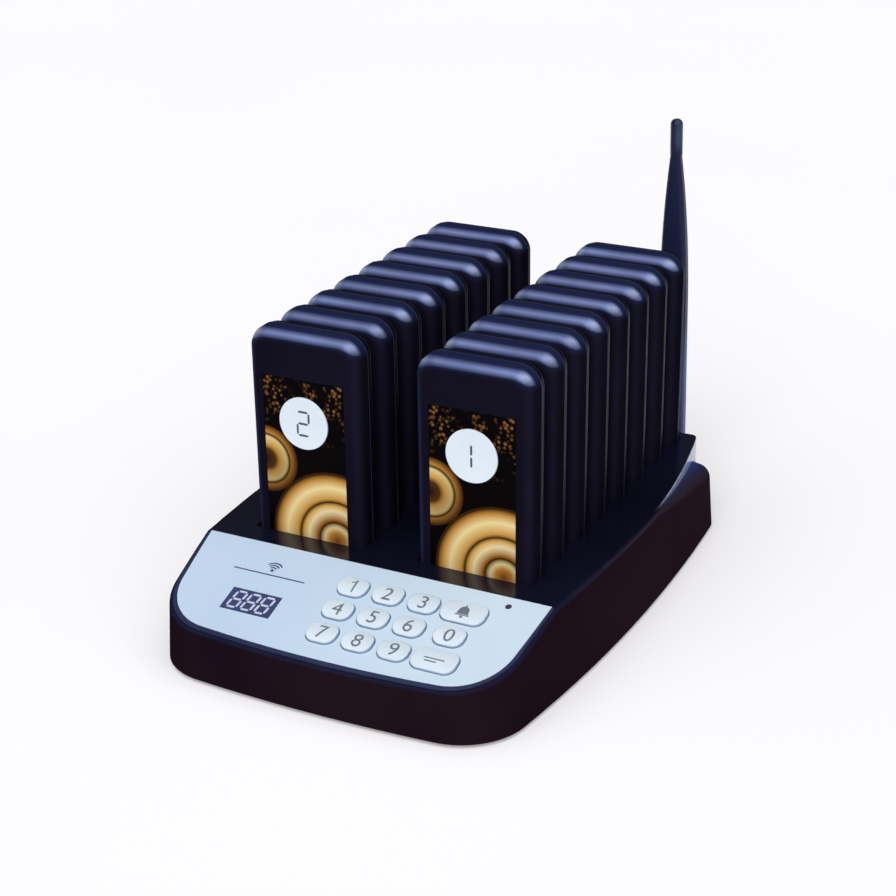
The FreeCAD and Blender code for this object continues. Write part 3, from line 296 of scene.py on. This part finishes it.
def pager_plastic():
    """Dark satin plastic with painted light: a painted highlight along the upper front edge,
    which is also shinier, painted reflections along the front side edges, and a lighter navy
    painted where it faces up.
    """
    made = Surface("pager_shell", IOR=1.55, Specular_IOR_Level=0.3,
                   Specular_Tint=rgb("b4c2ff"))
    normal = made.facing()
    front = made.span(normal["Y"], 1.0, 0.0, -0.42, -0.08)
    # the upper front edge gets a patchy painted highlight, and more gloss
    upper_edge = made.product(made.span(normal["Z"], 0.0, 1.0, 0.30, 0.64),
                              made.span(normal["Z"], 1.0, 0.0, 0.70, 0.95), front)
    aside = made.math("ABSOLUTE", normal["X"])
    # the front side edges get patchy painted reflections, bluer on the left
    side_edges = made.product(made.span(aside, 0.0, 1.0, 0.25, 0.62),
                              made.span(aside, 1.0, 0.0, 0.74, 0.96), front)
    body = made.ramp(made.noise(18.0), [(0.32, "12101b"), (0.68, "181524")])
    highlight_patches = made.span(made.noise(40.0), 0.55, 1.0)
    flank_reflection = made.mix(made.span(normal["X"], 0.0, 1.0, -0.3, 0.3), rgb("2b3054"), rgb("1a1b2c"))
    body = made.mix(made.product(side_edges, highlight_patches), body, flank_reflection)
    # surfaces facing up are painted a lighter navy, a painted sheen
    body = made.mix(made.span(normal["Z"], 0.0, 0.8, 0.10, 0.50), body, rgb("20284a"))
    # the painted highlight's colour, paler towards the corners
    top_highlight = made.mix(made.span(aside, 0.0, 1.0, 0.20, 0.50), rgb("6f7dae"), rgb("a2afd6"))
    made.colour(made.mix(made.product(upper_edge, highlight_patches), body, top_highlight))
    made.gloss(made.span(upper_edge, 0.0, 1.0, 0.0, 1.0))
    made.roughness(made.span(made.noise(60.0, 4.0), 0.26, 0.34))
    made.bump(made.noise(2600.0, 2.0), 0.08)
    return made.material


def back_plastic():
    """Dark plastic of the rear shells, a little shinier where it faces the rear."""
    made = Surface("pager_back", IOR=1.5, Specular_IOR_Level=0.2, Specular_Tint=rgb("b4c2ff"))
    made.colour(made.ramp(made.noise(18.0), [(0.32, "0d0b15"), (0.68, "151320")]))
    made.gloss(made.span(made.facing()["Y"], 0.05, 0.45, 0.2, 0.8))
    made.roughness(made.span(made.noise(54.0, 4.0), 0.30, 0.42))
    made.bump(made.noise(2600.0, 2.0), 0.1)
    return made.material


def panel_film():
    """Satin pale-blue film, a little paler towards the keys."""
    made = Surface("panel_film")
    patch = made.noise(9.0)
    made.colour(made.mix(made.span(made.axes(made.place)["X"], 0.0, 1.0, mm(-50.0), mm(60.0)),
                         made.ramp(patch, [(0.3, "bbd1e8"), (0.7, "c3d8ed")]),
                         made.ramp(patch, [(0.3, "c4d8e8"), (0.7, "cddfee")])))
    made.roughness(made.span(made.noise(27.0, 4.0), 0.42, 0.52))
    made.bump(made.noise(4200.0, 2.0), 0.1)
    return made.material


def antenna_cover():
    """Navy rubber-like cover, with a painted steel-grey highlight on the right of its tip and a
    painted blue highlight low down its right edge.
    """
    made = Surface("antenna_cover", Specular_IOR_Level=0.4, Specular_Tint=rgb("8f9ff0"))
    rightward = made.facing()["X"]
    height = made.axes(made.place)["Z"]
    body = made.ramp(made.noise(18.0), [(0.32, "191a31"), (0.68, "21233f")])
    # a patchy painted highlight on the right of the tip
    tip = made.product(made.span(height, 0.0, 1.0, mm(172.0), mm(176.0)),
                       made.span(rightward, 0.0, 1.0, -0.2, 0.6),
                       made.span(made.noise(120.0), 0.5, 1.0))
    body = made.mix(tip, body, rgb("3c4a62"))
    # a painted blue highlight low down the right edge
    edge = made.product(made.span(height, 1.0, 0.0, mm(65.0), mm(95.0)),
                        made.span(rightward, 0.0, 1.0, 0.3, 0.8))
    made.colour(made.mix(edge, body, rgb("43507a")))
    made.roughness(made.span(made.noise(54.0, 4.0), 0.30, 0.40))
    made.bump(made.noise(2600.0, 2.0), 0.2)
    return made.material


def key_plastic():
    """Pearl white keys, with painted shade where their edges turn down."""
    made = Surface("key_plastic", IOR=1.5, Coat_Weight=0.3, Coat_Roughness=0.12)
    top = made.ramp(made.noise(40.0), [(0.3, "cfdeea"), (0.7, "dce9f3")])
    # painted shade on the keys' sides
    made.colour(made.mix(made.span(made.facing()["Z"], 1.0, 0.0, 0.45, 0.86), top, rgb("9baec4")))
    made.roughness(made.span(made.noise(160.0), 0.25, 0.36))
    made.bump(made.noise(3000.0, 2.0), 0.05)
    return made.material


def label_film():
    """Glossy film printed with rings of cream, gold and brown and a few flecks on black."""
    made = Surface("label_film", IOR=1.5, Specular_IOR_Level=0.02)
    place = made.axes(made.place)

    def rings(x, y, reach, stops):
        """Concentric bands, shaded as if lit from the upper left."""
        distance = made.node("ShaderNodeVectorMath", operation="DISTANCE")
        distance.inputs[1].default_value = mm(x, y, 0)
        made.join(made.place, distance.inputs[0])
        share = made.math("DIVIDE", distance.outputs["Value"], mm(reach))
        slant = made.math("SUBTRACT", place["Y"], place["X"])
        shade = made.span(slant, 0.62, 0.0, mm(y - x - 1.3 * reach), mm(y - x + 0.7 * reach))
        return share, made.mix(shade, made.ramp(share, stops), rgb("2c1505"))

    black = rgb("050304")
    low_share, low = rings(14.0, -33.0, 31.0, [
        (0.00, "7a4416"), (0.12, "c98a3a"), (0.20, "f2dc9a"), (0.27, "2a1608"),
        (0.31, "a8651e"), (0.44, "f6e3ab"), (0.52, "e0ad55"), (0.57, "1c0f06"),
        (0.62, "d39b45"), (0.78, "f4dd9d"), (0.90, "c88c3c"), (0.97, "3a200c")])
    mid_share, mid = rings(-19.0, -1.0, 15.0, [
        (0.00, "1a0e06"), (0.30, "5a3413"), (0.44, "d8a24c"), (0.66, "f0d48c"),
        (0.74, "22120a"), (0.80, "c08436"), (0.97, "5a3413")])
    flecks = made.node("ShaderNodeTexVoronoi", feature="SMOOTH_F1")
    flecks.inputs["Scale"].default_value = 520.0
    flecks.inputs["Smoothness"].default_value = 0.3
    made.join(made.place, flecks.inputs["Vector"])
    specks = made.product(made.span(place["Y"], 0.0, 1.0, mm(8.0), mm(20.0)),
                          made.span(made.noise(90.0), 0.0, 1.0, 0.46, 0.60),
                          made.span(flecks.outputs["Distance"], 1.0, 0.0, 0.2, 0.5))
    ground = made.mix(specks, black, rgb("8a5c2c"))
    ground = made.mix(made.math("LESS_THAN", mid_share, 1.0), ground, mid)
    made.colour(made.mix(made.math("LESS_THAN", low_share, 1.0), ground, low))
    made.roughness(made.span(made.noise(80.0), 0.18, 0.28))
    return made.material


MATERIALS = {
    "case": case_plastic(),
    "floor": moulded("floor_plastic", "121018", "1b1820", (0.5, 0.62), depth=0.3),
    "rubber": moulded("foot_rubber", "18181a", "242427", (0.75, 0.9), grain=1500.0, depth=0.5),
    "steel": moulded("screw_steel", "8b8d90", "a9abae", (0.28, 0.42), Metallic=1.0),
    "panel": panel_film(),
    "display": moulded("display_window", "343f6a", "3f4a78", (0.14, 0.22), depth=0.02),
    "module": moulded("display_module", "1a1a1e", "26262b", (0.5, 0.6)),
    "lamp": moulded("status_lamp", "20264a", "2c3258", (0.2, 0.3), Coat_Weight=0.5),
    "mat": moulded("key_mat_silicone", "b9bcc0", "cacdd0", (0.6, 0.75)),
    "board": moulded("circuit_board", "14532c", "1c6638", (0.35, 0.5), patch=120.0),
    "keys": key_plastic(),
    "contacts": moulded("contact_plate", "b58a3c", "cfa553", (0.24, 0.36), Metallic=1.0),
    "jack": moulded("jack_shell", "151518", "202024", (0.4, 0.55)),
    "connector": moulded("connector_plate", "a88c4e", "c0a462", (0.24, 0.34), Metallic=1.0),
    "antenna": antenna_cover(),
    "pager_shell": pager_plastic(),
    "pager_back": back_plastic(),
}
LABEL = label_film()
DISC = moulded("disc_film", "e0edf9", "ebf5fd", (0.3, 0.4), patch=30.0, depth=0.04)
DIGIT_INK = moulded("digit_ink", "3a3f4a", "4a505c", (0.4, 0.5))
LEGEND_INK = moulded("legend_ink", "5f6873", "717a86", (0.4, 0.5), patch=300.0)
TITLE_INK = moulded("title_ink", "2a2c5c", "343766", (0.4, 0.5), patch=300.0)
FIGURE_LIGHT = moulded("figure_segment", "b8bedb", "ccd0e6", (0.35, 0.45), patch=300.0)
SEAM = moulded("seam_edge", "32334a", "3e3f57", (0.45, 0.6), patch=300.0, Specular_IOR_Level=0.05)

for node in frame["nodes"].values():
    packed = node.material_slots[0]
    packed.material = MATERIALS[packed.material.name.split(".")[0]]


# ------------------------------------------------------------------ meshes
def new_object(name, data):
    """An object in the scene."""
    made = bpy.data.objects.new(name, data)
    bpy.context.scene.collection.objects.link(made)
    return made


def finished_mesh(name, work):
    """The mesh of a bmesh, which is freed."""
    mesh = bpy.data.meshes.new(name)
    work.to_mesh(mesh)
    work.free()
    return mesh


def make_object(name, mesh, matrix, material, body):
    """A piece in place, with its material, riding on its CAD body."""
    made = new_object(name, mesh)
    made.matrix_world = matrix
    mesh.materials.append(material)
    for polygon in mesh.polygons:
        polygon.use_smooth = False
    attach(made, body)
    return made


def slab_mesh(name, outlines, low, high, edge=0.0, rings=2):
    """Closed slabs from outlines (lists of x, y), from z low to high, with top edges rounded
    by edge in so many rings. Everything in millimetres."""
    work = bmesh.new()
    for outline in outlines:
        face = work.faces.new([work.verts.new(mm(x, y, low)) for x, y in outline])
        grown = bmesh.ops.extrude_face_region(work, geom=[face])
        top = [v for v in grown["geom"] if isinstance(v, bmesh.types.BMVert)]
        bmesh.ops.translate(work, verts=top, vec=mm(0, 0, high - low))
        if edge:
            rim = [e for v in top for e in v.link_edges
                   if all(abs(w.co.z - mm(high)) < 1e-9 for w in e.verts)]
            bmesh.ops.bevel(work, geom=list(set(rim)), offset=mm(edge), segments=rings,
                            affect="EDGES", profile=0.5)
    bmesh.ops.recalc_face_normals(work, faces=work.faces)
    return finished_mesh(name, work)


def rounded_outline(width, height, radius, steps=6):
    """A rectangle with rounded corners round the origin, counterclockwise."""
    points = []
    for quarter in range(4):
        sign_x = 1 if quarter in (0, 3) else -1
        sign_y = 1 if quarter in (0, 1) else -1
        for step in range(steps + 1):
            angle = math.radians(90) * (quarter + step / steps)
            points.append((sign_x * (width / 2 - radius) + radius * math.cos(angle),
                           sign_y * (height / 2 - radius) + radius * math.sin(angle)))
    return points


def circle_outline(radius, x=0.0, y=0.0, steps=64):
    return [(x + radius * math.cos(math.tau * i / steps),
             y + radius * math.sin(math.tau * i / steps)) for i in range(steps)]


SEGMENTS = {"0": "abcdef", "1": "bc", "2": "abged", "3": "abgcd", "4": "fgbc", "5": "afgcd",
            "6": "afgedc", "7": "abc", "8": "abcdefg", "9": "abcdfg"}


def seven_segment(digit, x, height, width, thick, gap, lean=0.0):
    """Outlines of one seven-segment figure centred on (x, 0)."""
    w, h = width / 2, height / 2
    ends = {"a": ((-w, h), (w, h)), "d": ((-w, -h), (w, -h)), "g": ((-w, 0), (w, 0)),
            "b": ((w, h), (w, 0)), "c": ((w, 0), (w, -h)), "f": ((-w, h), (-w, 0)),
            "e": ((-w, 0), (-w, -h))}
    outlines = []
    for key in SEGMENTS[digit]:
        start, end = (Vector(p) for p in ends[key])
        along = (end - start).normalized()
        side = Vector((-along.y, along.x)) * thick / 2
        start, end = start + along * gap, end - along * gap
        tip = along * thick / 2
        shape = [start, start + tip - side, end - tip - side, end, end - tip + side,
                 start + tip + side]
        outlines.append([(p.x + x + p.y * lean, p.y) for p in shape])
    return outlines


def digits(text, height, width, thick, gap, pitch, lean=0.0):
    """Outlines of a row of seven-segment figures centred on the origin. A lone 1 is centred."""
    outlines = []
    for index, digit in enumerate(text):
        x = (index - (len(text) - 1) / 2) * pitch
        if text == "1":
            x = -width / 2
        outlines += seven_segment(digit, x, height, width, thick, gap, lean)
    return outlines


# ------------------------------------------------------------------ pagers
UPRIGHT = Matrix(((1, 0, 0), (0, 0, -1), (0, 1, 0))).to_4x4()   # local Z becomes -Y
LABEL_CENTRE_Z = PAGER_TOP_Z - LABEL_TOP_MARGIN - LABEL_HEIGHT / 2


def seam_mesh():
    """Thin raised edge round a pager at the joint of its two shells."""
    height = PAGER_TOP_Z - PAGER_FOOT_Z
    outer = rounded_outline(PAGER_WIDTH + 2 * SEAM_PROUD, height + 2 * SEAM_PROUD,
                            PAGER_CORNER_R, 10)
    inner = rounded_outline(PAGER_WIDTH - 2 * SEAM_INSET, height - 2 * SEAM_INSET,
                            PAGER_CORNER_R - SEAM_INSET, 10)
    work = bmesh.new()
    loops = [[work.verts.new(mm(x, y, z)) for x, y in points]
             for points, z in ((outer, 0.0), (outer, SEAM_THICKNESS),
                               (inner, SEAM_THICKNESS), (inner, 0.0))]
    count = len(outer)
    for k, first in enumerate(loops):
        second = loops[(k + 1) % len(loops)]
        for i in range(count):
            j = (i + 1) % count
            work.faces.new((first[i], first[j], second[j], second[i]))
    bmesh.ops.recalc_face_normals(work, faces=work.faces)
    return finished_mesh("pager_seam", work)


def dress_pager(number, x, face):
    """Picture film, number disc, number and seam of the pager whose front is at x, face."""
    body = f"pager_{number:02d}"

    def upright(y, z):
        return Matrix.Translation(mm(x, y, z)) @ UPRIGHT

    bed = face + LABEL_BED
    film = slab_mesh(f"film_{number:02d}",
                     [rounded_outline(LABEL_WIDTH, LABEL_HEIGHT, LABEL_CORNER_R)],
                     0.0, LABEL_THICKNESS, edge=0.05)
    make_object(f"label_{number:02d}", film, upright(bed, LABEL_CENTRE_Z), LABEL, body)

    on_film = upright(bed - LABEL_THICKNESS, PAGER_TOP_Z - DISC_DROP)
    disc = slab_mesh(f"disc_{number:02d}", [circle_outline(DISC_R)],
                     -DISC_SUNK, DISC_THICKNESS, edge=0.25, rings=3)
    make_object(f"number_disc_{number:02d}", disc, on_film, DISC, body)
    height, width = (10.4, 5.4) if number < 10 else (8.6, 4.4)
    marks = digits(str(number), height, width, thick=0.9, gap=0.35, pitch=7.0)
    ink = slab_mesh(f"number_{number:02d}", marks, DISC_THICKNESS - NUMBER_SUNK,
                    DISC_THICKNESS + INK)
    make_object(f"number_{number:02d}", ink, on_film, DIGIT_INK, body)

    middle = (PAGER_TOP_Z + PAGER_FOOT_Z) / 2
    make_object(f"seam_{number:02d}", seam_mesh(), upright(face + SEAM_DEPTH, middle), SEAM,
                body)


def dress_pagers():
    """Numbers run by rows from the front: odd ones on the right, even ones on the left."""
    for row in range(PAGER_ROWS):
        face = FIRST_PAGER_Y + row * PAGER_PITCH
        dress_pager(2 * row + 1, COLUMN_X, face)
        dress_pager(2 * row + 2, -COLUMN_X, face)


# ------------------------------------------------------------------ keypad
def text_mesh(name, text, size):
    """Figures in Blender's own typeface as a flat mesh centred on the origin."""
    curve = bpy.data.curves.new(name, "FONT")
    curve.body = text
    curve.size = mm(size)
    curve.align_x, curve.align_y = "CENTER", "CENTER"
    curve.resolution_u = 6
    holder = new_object(name, curve)
    bpy.context.view_layer.update()
    mesh = bpy.data.meshes.new_from_object(
        holder.evaluated_get(bpy.context.evaluated_depsgraph_get()))
    bpy.data.objects.remove(holder)
    work = bmesh.new()
    work.from_mesh(mesh)
    bmesh.ops.remove_doubles(work, verts=work.verts, dist=1e-7)
    low = Vector(min(v.co[i] for v in work.verts) for i in range(3))
    high = Vector(max(v.co[i] for v in work.verts) for i in range(3))
    bmesh.ops.translate(work, verts=work.verts, vec=-(low + high) / 2)
    work.to_mesh(mesh)
    work.free()
    return mesh


def flat_mesh(name, outlines):
    """Flat faces from outlines in millimetres."""
    work = bmesh.new()
    for outline in outlines:
        work.faces.new([work.verts.new(mm(x, y, 0)) for x, y in outline])
    return finished_mesh(name, work)


def press_on(mesh, matrix, target):
    """Cuts a flat mark into strips and lays it on a CAD node's surface, INK thick."""
    work = bmesh.new()
    work.from_mesh(mesh)
    for cut in range(-LEGEND_STRIPS, LEGEND_STRIPS + 1):
        bmesh.ops.bisect_plane(work, geom=work.verts[:] + work.edges[:] + work.faces[:],
                               plane_co=mm(0, cut * LEGEND_STRIP, 0), plane_no=(0, 1, 0))
    bmesh.ops.remove_doubles(work, verts=work.verts[:], dist=mm(0.01))
    bmesh.ops.dissolve_degenerate(work, edges=work.edges[:], dist=mm(0.01))
    surface = BVHTree.FromPolygons([v.co for v in target.data.vertices],
                                   [p.vertices for p in target.data.polygons])
    normal = (matrix.to_3x3() @ Vector((0, 0, 1))).normalized()
    back = matrix.inverted()
    grown = bmesh.ops.extrude_face_region(work, geom=work.faces[:])
    upper = {v for v in grown["geom"] if isinstance(v, bmesh.types.BMVert)}
    for vertex in work.verts:
        flat = matrix @ vertex.co
        above = flat + normal * mm(8.0)
        hit = surface.ray_cast(above, -normal)[0]
        if hit is None:
            hit = flat
        lift = mm(INK) if vertex in upper else -mm(INK_SUNK)
        vertex.co = back @ (hit + normal * lift)
    bmesh.ops.recalc_face_normals(work, faces=work.faces)
    work.to_mesh(mesh)
    work.free()


def one_outline():
    """The figure 1 with its flag, which Blender's typeface draws as a bare bar."""
    return [(0.35, -3.3), (1.1, -3.3), (1.1, 3.4), (0.55, 3.4), (0.15, 2.65), (-1.2, 1.9),
            (-1.2, 1.2), (0.35, 2.05)]


def bell_outlines():
    """A plain bell: dome, rim, clapper and knob."""
    sweep = [math.radians(a) for a in range(0, 181, 12)]
    dome = [(-2.6, -1.6)]
    dome += [(-2.2 * math.cos(a), 0.2 + 2.4 * math.sin(a)) for a in sweep]
    dome += [(2.6, -1.6)]
    rim = [(-3.2, -2.3), (3.2, -2.3), (3.0, -1.8), (-3.0, -1.8)]
    clapper = circle_outline(0.62, 0.0, -3.0, 20)
    knob = circle_outline(0.45, 0.0, 3.05, 16)
    return [dome[::-1], rim, clapper, knob]


def bar_outlines():
    """A long bar above a shorter one."""
    short = rounded_outline(5.2, 0.55, 0.2, 3)
    return [rounded_outline(9.0, 0.55, 0.2, 3), [(x - 1.2, y - 1.5) for x, y in short]]


def dress_keys():
    """Legends on the twelve keys."""
    drawn = {"1": [one_outline()], "call": bell_outlines(), "clear": bar_outlines()}
    rows = (("1", "2", "3", "call"), ("4", "5", "6", "0"), ("7", "8", "9", "clear"))
    for row, names in enumerate(rows):
        s = KEY_ROW_S + row * KEY_ROW_PITCH
        for column, name in enumerate(names):
            x = WIDE_KEY_X if column == 3 else KEY_COLUMN_X + column * KEY_COLUMN_PITCH
            matrix = panel_matrix(x, s)
            if name in drawn:
                mesh = flat_mesh(f"legend_{name}", drawn[name])
            else:
                mesh = text_mesh(f"legend_{name}", name, LEGEND_SIZE)
            press_on(mesh, matrix, frame["nodes"][f"key_{name}"])
            make_object(f"legend_{name}", mesh, matrix, LEGEND_INK, f"key_{name}_body")


def dress_panel():
    """Display figures and a plain sign in place of the printed title."""
    marks = digits("888", height=8.9, width=4.5, thick=1.05, gap=0.3, pitch=6.6, lean=0.12)
    mesh = slab_mesh("figures", marks, -INK_SUNK, INK)
    make_object("display_figures", mesh, panel_matrix(DISPLAY_X, DISPLAY_S), FIGURE_LIGHT, "base")

    def arc(radius, angles):
        return [(radius * math.cos(a), radius * math.sin(a) - 0.4) for a in angles]

    sweep = [math.radians(a) for a in range(40, 141, 5)]
    sign = [circle_outline(0.75, 0.0, -0.4, 24)]
    for radius in (2.0, 3.3, 4.6):
        sign.append(arc(radius, sweep) + arc(radius - SIGN_LINE, sweep[::-1]))
    sign.append([(x, y - 3.0) for x, y in rounded_outline(34.0, 0.6, 0.25, 3)])
    mesh = slab_mesh("title", sign, -INK_SUNK, INK)
    make_object("title_sign", mesh, panel_matrix(SIGN_X, SIGN_S), TITLE_INK, "base")


dress_pagers()
dress_keys()
dress_panel()


# ------------------------------------------------------------------ camera, floor, light
CAMERA_PLACE = (351.45, -685.61, 399.61)
CAMERA_TURN = (27.37, 23.51, -0.76)      # yaw, pitch and roll, in degrees
CAMERA_LENS, CAMERA_SENSOR = 77.67, 36.0
SKY_LOW, SKY_HIGH = 0.05, 1.48           # radiance away from the softbox and at its middle
FLOOR_DROP = 0.2                         # below the feet, so that the two don't flicker
FLOOR_GLOW = 0.195                       # lifts the floor's look to the photo's white


def camera():
    """The photograph's view."""
    yaw, pitch, roll = (math.radians(a) for a in CAMERA_TURN)
    back = Vector((math.sin(yaw) * math.cos(pitch), -math.cos(yaw) * math.cos(pitch),
                   math.sin(pitch)))
    right = Vector((math.cos(yaw), math.sin(yaw), 0))
    up = back.cross(right)
    axes = (math.cos(roll) * right + math.sin(roll) * up,
            -math.sin(roll) * right + math.cos(roll) * up, back)
    data = bpy.data.cameras.new("camera")
    data.lens, data.sensor_width = CAMERA_LENS, CAMERA_SENSOR
    data.clip_start, data.clip_end = 0.05, 50.0
    made = new_object("camera", data)
    turn = Matrix(axes).transposed().to_4x4()
    made.matrix_world = Matrix.Translation(mm(*CAMERA_PLACE)) @ turn
    bpy.context.scene.camera = made


def sun(name, towards, strength, spread):
    """An even soft lamp in the direction towards, spread degrees wide."""
    data = bpy.data.lights.new(name, "SUN")
    data.energy = strength
    data.angle = math.radians(spread)
    made = new_object(name, data)
    made.rotation_mode = "QUATERNION"
    made.rotation_quaternion = Vector(towards).to_track_quat("Z", "Y")


def world():
    """A soft sky: one wide softbox above the front, a little to the right, that fades all round.
    The camera sees an even near-white in its place."""
    made = bpy.data.worlds.new("studio")
    bpy.context.scene.world = made
    made.use_nodes = True
    tree = made.node_tree
    tree.nodes.clear()
    place = tree.nodes.new("ShaderNodeTexCoord")
    near = tree.nodes.new("ShaderNodeVectorMath")
    near.operation = "DOT_PRODUCT"
    near.inputs[1].default_value = Vector((0.15, -0.35, 0.92)).normalized()
    fade = tree.nodes.new("ShaderNodeMapRange")
    fade.interpolation_type = "SMOOTHSTEP"
    for socket, value in (("From Min", 0.45), ("From Max", 0.92),
                          ("To Min", SKY_LOW), ("To Max", SKY_HIGH)):
        fade.inputs[socket].default_value = value
    path = tree.nodes.new("ShaderNodeLightPath").outputs
    seen = tree.nodes.new("ShaderNodeMath")
    seen.operation = "MAXIMUM"
    strength = tree.nodes.new("ShaderNodeMix")
    strength.inputs["B"].default_value = 1.0
    light = tree.nodes.new("ShaderNodeBackground")
    light.inputs["Color"].default_value = rgb("fbfbfd")
    output = tree.nodes.new("ShaderNodeOutputWorld")
    tree.links.new(place.outputs["Generated"], near.inputs[0])
    tree.links.new(near.outputs["Value"], fade.inputs["Value"])
    tree.links.new(path["Is Camera Ray"], seen.inputs[0])
    tree.links.new(path["Is Transmission Ray"], seen.inputs[1])
    tree.links.new(seen.outputs["Value"], strength.inputs["Factor"])
    tree.links.new(fade.outputs["Result"], strength.inputs["A"])
    tree.links.new(strength.outputs["Result"], light.inputs["Strength"])
    tree.links.new(light.outputs["Background"], output.inputs["Surface"])


def studio_floor():
    """A plain pale floor just under the feet. It glows a little where it is seen: directly, in
    reflections or through clear pieces."""
    work = bmesh.new()
    bmesh.ops.create_grid(work, x_segments=8, y_segments=8, size=6.0)
    mesh = finished_mesh("studio_floor", work)
    made = new_object("studio_floor", mesh)
    made.location.z = -mm(FLOOR_DROP)
    paint = Surface("floor_paint", Roughness=0.9, Specular_IOR_Level=0.0,
                    Emission_Color=rgb("fff7fb"))
    paint.colour(paint.ramp(paint.noise(1.5), [(0.3, "ededee"), (0.7, "f0f0f0")]))
    path = paint.node("ShaderNodeLightPath").outputs
    seen = paint.math("MAXIMUM", path["Is Camera Ray"], path["Is Glossy Ray"])
    seen = paint.math("MAXIMUM", seen, path["Is Transmission Ray"])
    paint.join(paint.product(seen, FLOOR_GLOW), paint.shader.inputs["Emission Strength"])
    mesh.materials.append(paint.material)


camera()
world()
studio_floor()
sun("key", (0.25, -0.75, 0.60), 1.05, 40.0)
bpy.context.scene.view_settings.view_transform = "Standard"
